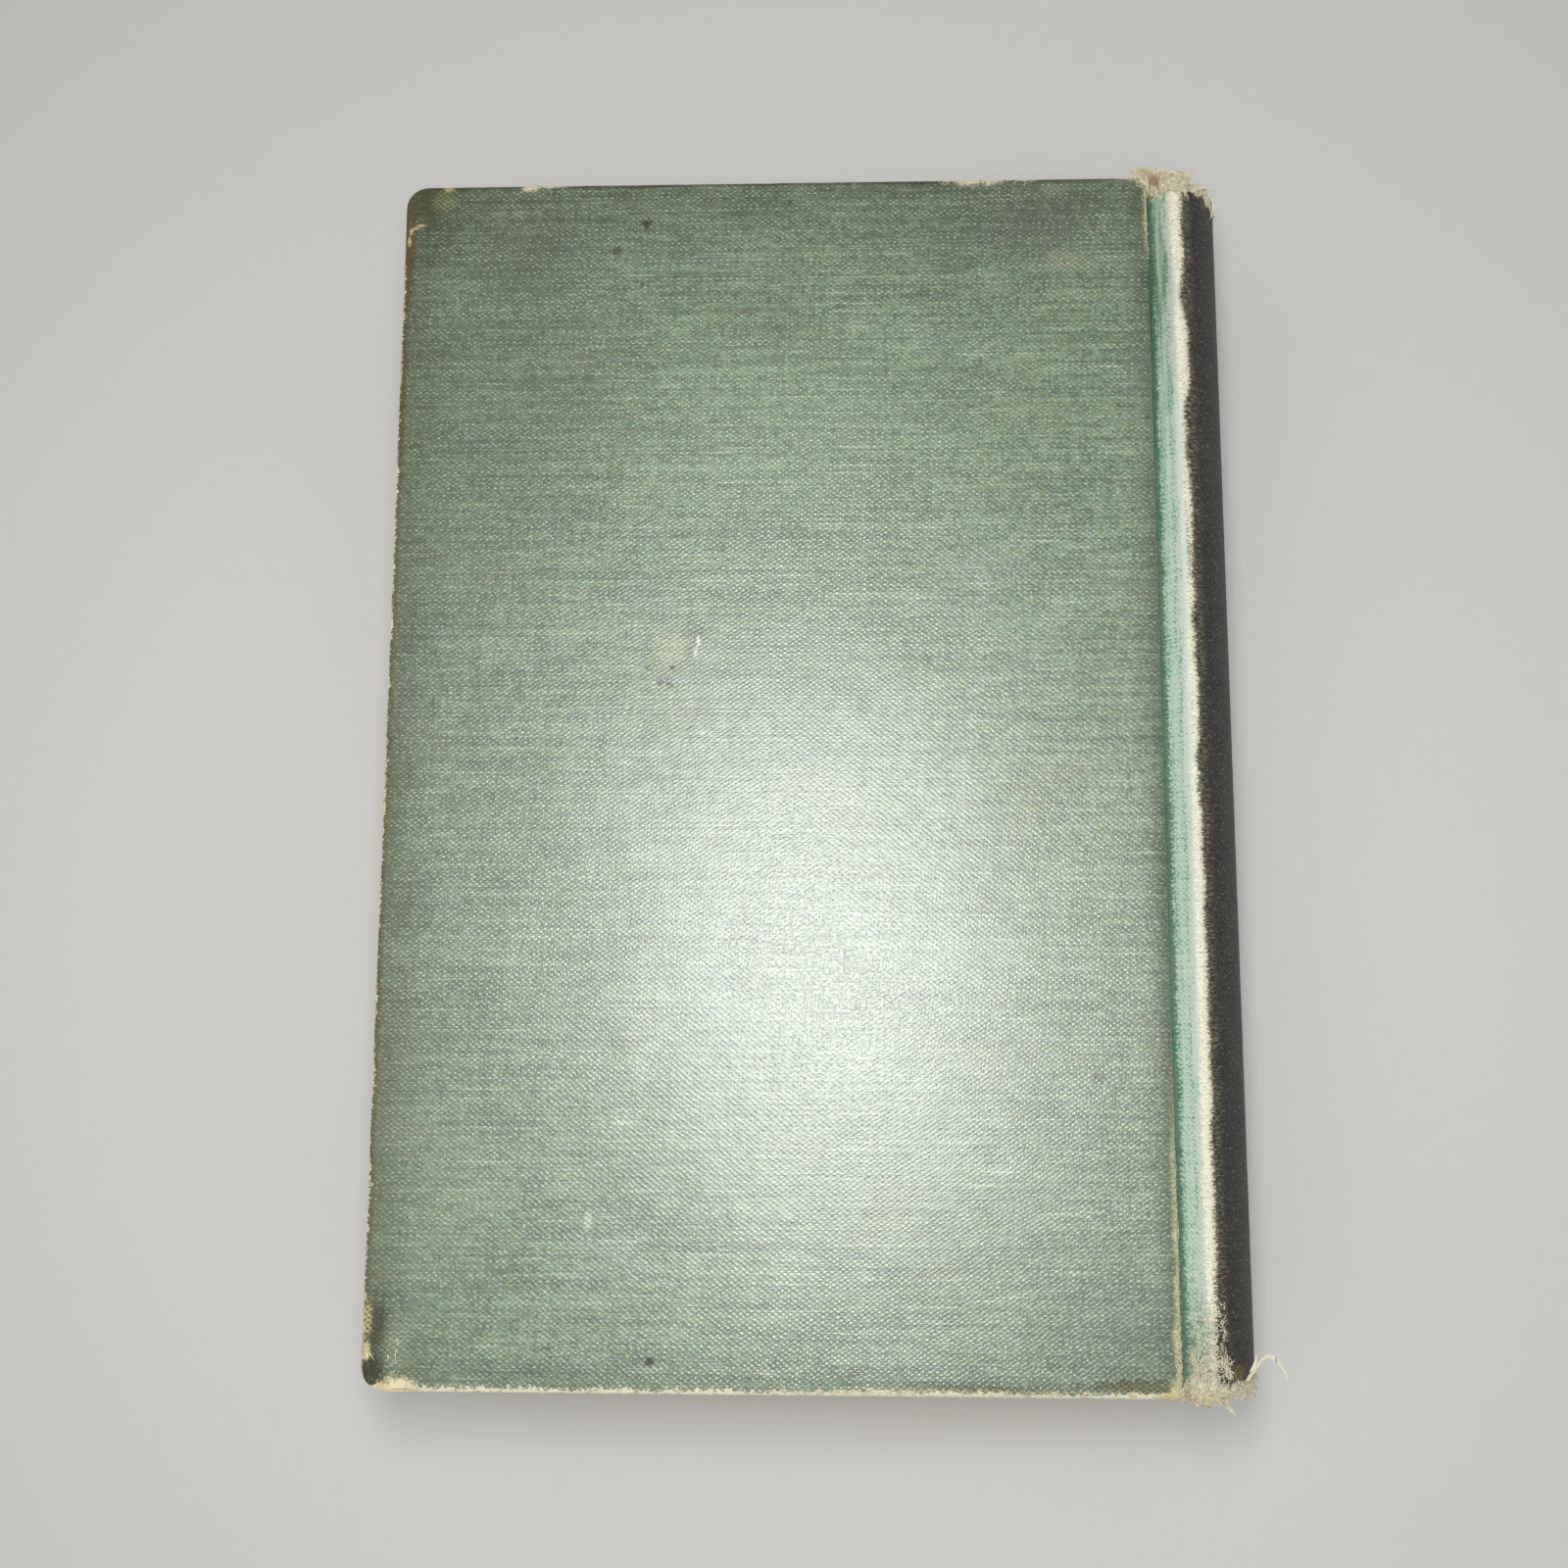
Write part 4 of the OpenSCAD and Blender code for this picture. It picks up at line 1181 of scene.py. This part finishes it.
class BOOK_OT_frayed_threads(bpy.types.Operator):
    """Frays both ends of the spine, the ridges and the back cover's worn edges into loose cotton threads"""

    bl_idname = "book.frayed_threads"
    bl_label = "Frayed threads"

    # Strands that stand out or hang, each with the points that it passes in millimetres, the number of
    # threads in it and its half width.
    STRANDS = {
        "head": (
            (((60.6, 94.0, 31.9), (61.4, 96.4, 31.9), (62.1, 98.7, 31.6)), 12, 0.7),
            (((59.6, 94.6, 32.6), (60.2, 96.6, 32.5), (60.9, 98.0, 32.2)), 10, 0.6),
            (((61.6, 94.5, 31.7), (63.1, 95.7, 30.2), (64.6, 96.3, 29.3), (66.2, 96.0, 28.4)), 22, 0.42),
            (((65.4, 94.2, 29.6), (65.7, 92.8, 29.7), (65.4, 91.4, 29.8), (64.9, 90.2, 29.8)), 12, 0.24),
        ),
        "tail": (
            (((64.4, -93.6, 29.6), (66.0, -91.6, 29.2), (67.4, -90.2, 28.8), (68.7, -90.6, 28.5),
              (69.8, -91.9, 28.0), (70.8, -93.5, 27.4), (71.6, -95.0, 26.9)), 16, 0.36),
            (((58.6, -94.8, 32.2), (60.2, -96.4, 31.8), (61.6, -97.8, 31.3), (62.4, -98.5, 30.9)), 14, 0.4),
            (((65.0, -92.6, 30.0), (65.6, -91.0, 30.2), (65.8, -89.7, 30.2)), 12, 0.35),
        ),
        "corner": (
            (((-62.4, -88.3, 34.0), (-61.8, -88.9, 34.1), (-62.4, -89.5, 34.0)), 2, 0.05),
            (((-62.2, -89.7, 34.0), (-62.4, -90.5, 34.1), (-62.3, -91.3, 34.0)), 2, 0.05),
            (((-63.5, -90.6, 34.0), (-63.4, -91.1, 34.1), (-63.9, -91.7, 34.0)), 2, 0.08),
            (((-62.2, -91.3, 34.0), (-63.0, -92.0, 34.1), (-63.9, -92.4, 34.0)), 2, 0.06),
            (((-62.4, -92.8, 34.0), (-63.1, -93.4, 34.0)), 2, 0.05),
            (((-66.3, -90.3, 33.9), (-65.9, -90.8, 34.1), (-65.4, -91.5, 33.9)), 3, 0.08),
            (((-67.2, -89.4, 33.7), (-66.6, -89.0, 34.0), (-66.0, -89.1, 33.9)), 3, 0.1),
            (((-67.1, -91.2, 33.6), (-66.6, -90.6, 33.9), (-66.8, -90.0, 33.8)), 3, 0.1),
        ),
    }

    def execute(self, context):
        scene = context.scene
        wear = scene.book_wear
        case = Case(scene.book_sizes)
        self.thread = cotton_thread(scene.book_colours)
        self.thread_r = wear.thread_r / MM
        self.shade = random.Random(wear.seed + 1)
        draw = random.Random(wear.seed)
        half = case.cloth / 2
        crest = case.crest(half)
        line = case.spine_line(half)
        marks = lengths(line)
        middle = marks[-1] / 2

        def on_spine(along, y, lift):
            """Point on the spine's cloth, at a length along its line from the back joint."""
            spot, out = at_length(line, marks, along)
            x, z = worn_point(spot, out, middle - abs(along - middle) - crest, y)
            return Vector((JOINT_X + x + out[0] * lift, y, MID_Z + z + out[1] * lift))

        self.start()
        for first, way, share in ((crest, 1, 1.0), (marks[-1] - crest, -1, 0.4)):
            for _ in range(round(wear.ridge_fibres * share)):
                y = draw.uniform(TAIL_Y + 3.0, HEAD_Y - 2.0)
                low, high = ridge_wear(way * y)
                if high - low < draw.uniform(0.0, 2.2):
                    continue
                root = first + way * draw.uniform(low, high)
                turn = draw.gauss(0.3, 0.6) if draw.random() < 0.75 else draw.uniform(2.0, 4.3)
                turn = turn if way > 0 else HALF_TURN - turn
                self.lie(draw, on_spine, root, y, turn, draw.uniform(0.35, 1.1), draw.uniform(0.7, 1.4))
        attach(self.made("ridge_fibres"), "text_block")

        for end, way in (("head", 1), ("tail", -1)):
            self.start()
            edge = HEAD_Y if way > 0 else TAIL_Y
            past = 0.5 if way > 0 else 0.0
            self.mat(draw, on_spine, (0.1, 3.4), edge, way, wear.end_mat, (-past, 2.4), 1.0)
            self.mat(draw, on_spine, (3.4, 15.0), edge, way, wear.end_mat, (-past / 2, 1.8), 0.8)
            self.mat(draw, on_spine, (15.0, marks[-1] - 0.1), edge, way, wear.end_mat // 2, (0.0, 1.8), 0.8)
            if way < 0:
                self.mat(draw, on_spine, (0.1, 5.0), edge, way, wear.end_mat, (2.0, 6.5), 1.1, 3)
                self.mat(draw, on_spine, (0.1, 3.6), edge, way, wear.end_mat, (5.5, 14.0), 1.1, 2)
            self.strands(draw, end)
            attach(self.made(f"{end}_fray"), "text_block")

        joint = case.joint_line(half)
        run = lengths(joint)
        gap = run[AT_GAP]
        slope_end = run[SLOPE_END]
        # Width of the board's corner that is matted too.
        board_w = 3.0
        for side, body in ((1, "back"), (-1, "front")):

            def on_joint(along, y, lift):
                """Point on the board's corner, or past it on the joint's cloth, at a length along both."""
                if along < board_w:
                    return Vector((JOINT_X + along - board_w, y, MID_Z + side * (MID_Z + lift)))
                inward = along - board_w + gap
                spot, out = at_length(joint, run, min(inward, slope_end))
                x, z = worn_point(spot, out, inward - slope_end - crest, y)
                return Vector((JOINT_X + x + out[0] * lift, y, MID_Z + side * (z + out[1] * lift)))

            last = board_w + slope_end - gap
            count = wear.end_mat if side > 0 else wear.end_mat // 3
            self.start()
            self.mat(draw, on_joint, (2.7, last), HEAD_Y, 1, count * 3 // 2, (-0.7, 2.0), 1.0)
            self.mat(draw, on_joint, (2.8, 4.8), HEAD_Y, 1, count // 2, (-1.0, 0.2), 0.9)
            self.mat(draw, on_joint, (2.0, 3.4), HEAD_Y, 1, count // 2, (-0.8, 1.6), 0.9)
            self.mat(draw, on_joint, (0.6, 2.4), HEAD_Y, 1, count // 2, (-0.6, 0.4), 0.8)
            self.mat(draw, on_joint, (3.5, last), TAIL_Y, -1, count * 2, (0.0, 2.4), 0.9)
            self.mat(draw, on_joint, (2.4, 3.6), TAIL_Y, -1, count // 3, (0.7, 1.6), 0.6)
            self.mat(draw, on_joint, (4.4, last), TAIL_Y, -1, count, (2.0, 6.5), 1.1, 3)
            self.mat(draw, on_joint, (5.2, last), TAIL_Y, -1, count // 2, (5.5, 13.0), 1.1, 2)
            piece = self.made(f"{body}_joint_fray")
            blend_at_joint(piece, body)

        self.start()
        self.edge_fuzz(draw)
        self.strands(draw, "corner")
        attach(self.made("back_edge_fuzz", "cover_cloth"), "back_cover")
        return {"FINISHED"}

    def start(self):
        """Sets out with no threads."""
        self.points = []
        self.faces = []
        self.tones = []

    def spin(self, path, thick, sides):
        """One thread along path, with its own tone."""
        tube(self.points, self.faces, path, self.thread_r * thick, sides)
        tone = (self.shade.random(), 0.0, 0.0)
        self.tones += [tone] * (len(self.points) - len(self.tones))

    def made(self, name, slot="spine_cloth"):
        """The threads drawn since the start, as one piece."""
        for point in self.points:
            point.z = max(point.z, 0.03)
        piece = new_piece(name, self.points, self.faces, [self.thread], (), {"thread": self.tones})
        return piece

    def lie(self, draw, place, along, y, turn, size, thick, rise=0.0):
        """One thread that lies on the cloth and curls as it goes. place gives the point at a length across
        the cloth, a height and a lift; turn is the way it sets out."""
        count = 5
        bend = draw.gauss(0.0, 2.4)
        path = []
        for i in range(count + 1):
            t = i / count
            path.append(place(along, y, rise * t + 0.1 * math.sin(HALF_TURN * t)))
            along = max(along + size / count * math.cos(turn + bend * t), 0.0)
            y += size / count * math.sin(turn + bend * t)
        self.spin(path, thick, 3)

    def mat(self, draw, place, span, edge, way, count, deep, size, each=6):
        """Clumps of threads near an end. deep gives how far from the end they lie."""
        for _ in range(count):
            depth = draw.uniform(*deep)
            middle = draw.uniform(*span)
            turn = way * HALF_TURN / 2 + draw.gauss(0.0, 1.0 if depth < 1.0 else 1.8)
            rise = draw.uniform(-0.1, 0.35)
            for _ in range(each):
                along = min(max(middle + draw.gauss(0.0, 0.3), span[0]), span[1])
                y = edge - way * (depth + draw.gauss(0.0, 0.3))
                long = size * draw.uniform(0.5, 1.3)
                set_out = turn + draw.gauss(0.0, 0.5)
                self.lie(draw, place, along, y, set_out, long, draw.uniform(0.9, 1.7), rise)

    def edge_fuzz(self, draw):
        """Short threads along the back cover's worn edges."""
        edge = 0.8

        def on_edge(inside, spot, lift, axis, place, inward):
            """Point on the cloth beside an edge, at a distance in from it and a place along it."""
            point = Vector((0.0, 0.0, BOOK_T - 0.1 + lift))
            point[axis] = spot
            point[1 - axis] = place + inward * inside
            if inside < edge:
                point.z += math.sqrt(max(edge * edge - (edge - inside) ** 2, 0.0)) - edge
            return point

        # For each run: the axis along it, its ends, the place of the edge, the way inward, how deep the
        # threads lie and how many there are.
        runs = (
            (0, 20.0, 36.5, HEAD_Y, -1, 1.2, 46), (0, -48.5, -40.5, HEAD_Y, -1, 0.8, 24),
            (0, -61.0, 53.8, TAIL_Y, 1, 1.2, 190), (1, 80.0, 95.4, JOINT_X, -1, 0.5, 26),
            (1, -95.5, -60.0, JOINT_X, -1, 0.6, 60), (1, -95.5, -84.0, JOINT_X, -1, 1.1, 44),
            (1, -91.0, -82.0, FORE_X, 1, 0.9, 30), (1, -80.0, 80.0, FORE_X, 1, 0.5, 50),
            (0, -65.0, -58.0, TAIL_Y, 1, 1.6, 36),
        )
        for axis, low, high, place, inward, deep, count in runs:

            def spot_of(inside, spot, lift):
                return on_edge(inside, spot, lift, axis, place, inward)

            for _ in range(count):
                inside = deep * draw.random() ** 1.4
                turn = draw.uniform(0.0, 2 * HALF_TURN)
                size = draw.uniform(0.25, 0.8)
                self.lie(draw, spot_of, inside, draw.uniform(low, high), turn, size, draw.uniform(0.6, 1.1))

    def strands(self, draw, end):
        """The few long strands of one end, each as several threads side by side."""
        parts = 4
        for route, count, wide in self.STRANDS[end]:
            spots = [Vector(p) for p in route]
            last = parts * (len(spots) - 1)
            for _ in range(count):
                shift = Vector([draw.uniform(-wide, wide) for _ in range(3)])
                shift.z /= 2
                short = draw.uniform(0.6, 1.0)
                path = []
                for i in range(last + 1):
                    t = short * i / parts
                    k = min(int(t), len(spots) - 2)
                    path.append(spots[k].lerp(spots[k + 1], t - k) + shift * (1 - 0.8 * i / last))
                for _ in range(2):
                    path = [path[0]] + [
                        (a + 2 * b + c) / 4 for a, b, c in zip(path, path[1:], path[2:])
                    ] + [path[-1]]
                self.spin(path, 1.5, 4)


class BOOK_OT_text_block(bpy.types.Operator):
    """Builds the text block in bundles of leaves at its edges, and lays a flyleaf on each side of it"""

    bl_idname = "book.text_block"
    bl_label = "Text block and flyleaves"

    def execute(self, context):
        scene = context.scene
        sizes = scene.book_sizes
        case = Case(sizes)
        pages = page_edges(scene.book_colours)
        block = self.block(sizes, case, pages)
        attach(block, "text_block")
        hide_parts("text_block")
        paper = finish_of("uncoated_endpaper")
        for side, name in ((1, "back"), (-1, "front")):
            leaf = self.leaf(f"{name}_loose_leaf", case, paper, side)
            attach(leaf, "text_block")
            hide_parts(f"{name}_flyleaf")
        return {"FINISHED"}

    def block(self, sizes, case, material):
        """Rings of points, one for each edge of a bundle of leaves and one for each valley between two."""
        bundles = 4
        rows = sizes.gatherings * bundles * 2
        hollow = sizes.hollow / MM
        draw = random.Random(17)
        fan = math.atan2(*reversed(self.tip(case)))
        points = []
        fields = []
        rings = []
        step_in = [draw.uniform(0.0, 0.3) for _ in range(sizes.gatherings)]
        for j in range(rows + 1):
            share = 2 * j / rows - 1
            z = PAPER_Z * share
            group = min(j // (2 * bundles), sizes.gatherings - 1)
            valley = 0.12 if j % 2 else 0.0
            if j % (2 * bundles) == 0:
                valley = 0.2
            back = on_circle(case.centre, case.back_r - 0.3 * (j % (2 * bundles) == 0), fan * share)
            bend = case.foot_x - 0.4 - 7.0 * (1 - abs(share))
            fore = PAGES_X - JOINT_X + hollow * (1 - share * share) + valley + step_in[group]
            spine_ward = [(x, z) for x in spread(fore, bend, 12)]
            knee = (bend + 0.5 * (back[0] - bend), z)
            if abs(share) > 0.97:
                knee = (case.foot_x, z)
            for i in range(1, 8):
                t = i / 7
                spine_ward.append(self.curve((bend, z), knee, back, t))
            trim = valley + step_in[(group * 7 + 3) % sizes.gatherings] * 0.8
            ring = []
            tail = [(x, TAIL_Y + (HEAD_Y - PAGES_Y) + trim, h) for x, h in reversed(spine_ward)]
            head = [(x, PAGES_Y - trim, h) for x, h in spine_ward]
            front = []
            for y in spread(-PAGES_Y + trim, PAGES_Y - trim, 38)[1:-1]:
                wave = 0.08 * grain(y, z, 30, 3) + 0.05 * grain(y, z, 0.6, 5)
                front.append((fore + wave, y, z))
            run = 0.0
            last = None
            for x, y, h in tail + front + head:
                run += 0.0 if last is None else math.dist(last, (x, y))
                last = (x, y)
                jitter = 0.03 * grain(x, y, 2.0, j * 0.37)
                ring.append(len(points))
                points.append((JOINT_X + x, y + jitter, MID_Z + h))
                fields.append((run, z, 0.0))
            rings.append(ring)
        count = len(rings[0])
        if any(len(ring) != count for ring in rings):
            raise RuntimeError("the rings of the text block differ in length")
        faces = []
        for low, high in zip(rings, rings[1:]):
            for k in range(count):
                after = (k + 1) % count
                faces.append((low[k], low[after], high[after], high[k]))
        faces.append(tuple(reversed(rings[0])))
        faces.append(tuple(rings[-1]))
        return new_piece("page_block", points, faces, [material], (), {"leaf": fields})

    def tip(self, case):
        """Where the shoulder meets the folds of the pages, from the centre of the spine's round."""
        x, z = case.shoulder
        run = 0.0
        while math.hypot(x - case.centre[0], z) < case.back_r:
            run += 0.01
            x = case.shoulder[0] + run * math.cos(case.slope)
            z = case.shoulder[1] + run * math.sin(case.slope)
        return x - case.centre[0], z

    def curve(self, a, b, c, t):
        """Point on the bend of a leaf from a to c that heads for b."""
        return tuple((1 - t) ** 2 * a[k] + 2 * t * (1 - t) * b[k] + t * t * c[k] for k in (0, 1))

    def leaf(self, name, case, material, side):
        """A flyleaf that lies on the pages and runs over the gauze and up the shoulder."""
        under = case.cloth / 2 + case.seat - 0.02
        slope = (math.cos(case.slope), math.sin(case.slope))
        low = on_circle(case.groove, case.groove_r, case.slope - HALF_TURN / 2)
        start = (low[0] + under * slope[1], low[1] - under * slope[0])
        line = [(x, PAPER_Z + LEAF_T) for x in steps(PAGES_X - JOINT_X, -0.5, 3.0)]
        line += [(0.1, case.gauze_z + 0.07), (case.gap + 0.3, case.gauze_z + 0.08)]
        line += [(start[0] + slope[0] * t, start[1] + slope[1] * t) for t in (0.3, 0.8, 1.3, 1.8, 2.3)]
        points = []
        faces = []
        rows = steps(-PAGES_Y, PAGES_Y, 4.0)
        count = len(rows)
        for thick in (0.0, 0.06):
            for x, z in line:
                for y in rows:
                    wave = 0.04 * grain(x, y, 40, 8 + side) * fade(x, -1.0, -12.0)
                    lean = thick * slope[1] if x > case.foot_x else 0.0
                    points.append((JOINT_X + x + lean, y, MID_Z + side * (z - thick + wave)))
        wide = len(line)
        for i in range(wide - 1):
            for j in range(count - 1):
                a = i * count + j
                b = a + count
                faces.append((a, b, b + 1, a + 1))
                faces.append(tuple(k + wide * count for k in (a, a + 1, b + 1, b)))
        rim = [i * count for i in range(wide)] + [(wide - 1) * count + j for j in range(1, count)]
        rim += [i * count + count - 1 for i in range(wide - 2, -1, -1)] + list(range(count - 2, 0, -1))
        for k, a in enumerate(rim):
            b = rim[(k + 1) % len(rim)]
            faces.append((a, a + wide * count, b + wide * count, b))
        if side < 0:
            faces = [tuple(reversed(face)) for face in faces]
        return new_piece(name, points, faces, [material])


class BOOK_OT_inner_layers(bpy.types.Operator):
    """Finishes the boards, pastedowns, gauze, lining and card"""

    bl_idname = "book.inner_layers"
    bl_label = "Inner layers"

    def execute(self, context):
        colours = context.scene.book_colours
        board = fibre_board("straw_board", tuple(colours.board), linear("#b0904f"), 0.6)
        lining = fibre_board("kraft_lining_paper", tuple(colours.lining), linear("#6d5438"), 0.5)
        card = fibre_board("grey_card", tuple(colours.card), linear("#7d745f"), 0.6)
        gauze = starched_gauze(colours)
        paper = finish_of("uncoated_endpaper")
        finishes = {"spine_gauze": gauze, "spine_lining": lining, "spine_inlay": card}
        for side in ("back", "front"):
            finishes[f"{side}_board"] = board
            finishes[f"{side}_gauze_flange"] = gauze
            finishes[f"{side}_pastedown"] = paper
        for name, material in finishes.items():
            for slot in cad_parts[name].material_slots:
                slot.material = material
        return {"FINISHED"}


# Places in millimetres of the light, of what it is aimed at and of the camera, and the camera's turn in
# degrees.
KEY_AT = (-3.4, -16.0, 345.4)
KEY_AIM = (-0.2, -33.0, BOOK_T)
CAMERA_AT = (4.9, -47.5, 304.8)
CAMERA_TURN = (9.03, 2.01, 0.21)
# Half width of the floor, the size of its cells and how far it lies below the book.
FLOOR_REACH = 3000.0
FLOOR_CELL = 500.0
FLOOR_DROP = 0.02


class BOOK_OT_stage(bpy.types.Operator):
    """Sets the floor, the soft light and the camera"""

    bl_idname = "book.stage"
    bl_label = "Stage"

    def execute(self, context):
        scene = context.scene
        stage = scene.book_stage
        material, tree = new_material("matt_paper_floor")
        place = add(tree, "TexCoord", None, None, 3)
        noises = patterns(tree, place, {"fibre": (4, 4, 3.0)})
        share = total(tree, 0.1, ((noises["fibre"], 0.2),))
        tone = tuple(scene.book_colours.floor)
        tone = add(tree, "Mix", BLEND, {0: share, 6: tone, 7: linear("#dcdbd8")}, 2)
        finish(tree, {"Base Color": tone, "Roughness": 0.9})
        spots = steps(-FLOOR_REACH, FLOOR_REACH, FLOOR_CELL)
        count = len(spots)
        points = [(x, y, -FLOOR_DROP) for x in spots for y in spots]
        faces = [
            (i * count + j, (i + 1) * count + j, (i + 1) * count + j + 1, i * count + j + 1)
            for i in range(count - 1) for j in range(count - 1)
        ]
        new_piece("floor", points, faces, [material])

        world = bpy.data.worlds.new("even_light")
        world.use_nodes = True
        world.node_tree.nodes.clear()
        white = (1.0, 1.0, 1.0, 1.0)
        sky = add(world.node_tree, "Background", None, {"Color": white, "Strength": stage.sky})
        add(world.node_tree, "OutputWorld", None, {"Surface": sky})
        scene.world = world

        lamp = bpy.data.lights.new("key", "AREA")
        lamp.shape = "ELLIPSE"
        lamp.size = stage.key_size
        lamp.size_y = stage.key_length
        lamp.energy = stage.key_power
        key = bpy.data.objects.new("key", lamp)
        key.location = Vector(KEY_AT) * MM
        target = Vector(KEY_AIM) * MM
        key.rotation_euler = (key.location - target).to_track_quat("Z", "Y").to_euler()
        key.visible_camera = False
        scene.collection.objects.link(key)

        view = bpy.data.cameras.new("camera")
        view.sensor_width = 36.0
        view.lens = stage.lens
        view.clip_start = 0.01
        camera = bpy.data.objects.new("camera", view)
        camera.location = Vector(CAMERA_AT) * MM
        camera.rotation_euler = Euler([math.radians(angle) for angle in CAMERA_TURN], "XYZ")
        scene.collection.objects.link(camera)
        scene.camera = camera
        scene.view_settings.view_transform = "Standard"
        return {"FINISHED"}


OPERATORS = (
    BOOK_OT_cover_cloth, BOOK_OT_spine_cloth, BOOK_OT_frayed_threads, BOOK_OT_text_block,
    BOOK_OT_inner_layers, BOOK_OT_stage,
)


class BOOK_PT_panel(bpy.types.Panel):
    """Lists the book's pieces and what can be changed about them"""

    bl_idname = "BOOK_PT_panel"
    bl_label = "Worn clothbound book"
    bl_space_type = "VIEW_3D"
    bl_region_type = "UI"
    bl_category = "Book"

    def draw(self, context):
        for operator in OPERATORS:
            self.layout.operator(operator.bl_idname)
        for group in GROUPS:
            box = self.layout.box()
            settings = getattr(context.scene, group)
            for key in settings.__annotations__:
                box.prop(settings, key)


GROUPS = {
    "book_sizes": BookSizes, "book_wear": BookWear, "book_colours": BookColours, "book_stage": BookStage,
}


def register():
    """Registers the settings, the operators and the panel."""
    for kind in (*GROUPS.values(), *OPERATORS, BOOK_PT_panel):
        bpy.utils.register_class(kind)
    for key, kind in GROUPS.items():
        setattr(bpy.types.Scene, key, PointerProperty(type=kind))


def unregister():
    """Takes them away again."""
    for key in GROUPS:
        delattr(bpy.types.Scene, key)
    for kind in (BOOK_PT_panel, *reversed(OPERATORS), *GROUPS.values()):
        bpy.utils.unregister_class(kind)


def main():
    """Builds the whole book."""
    register()
    bpy.ops.book.cover_cloth()
    bpy.ops.book.spine_cloth()
    bpy.ops.book.frayed_threads()
    bpy.ops.book.text_block()
    bpy.ops.book.inner_layers()
    bpy.ops.book.stage()


if __name__ == "__main__":
    main()
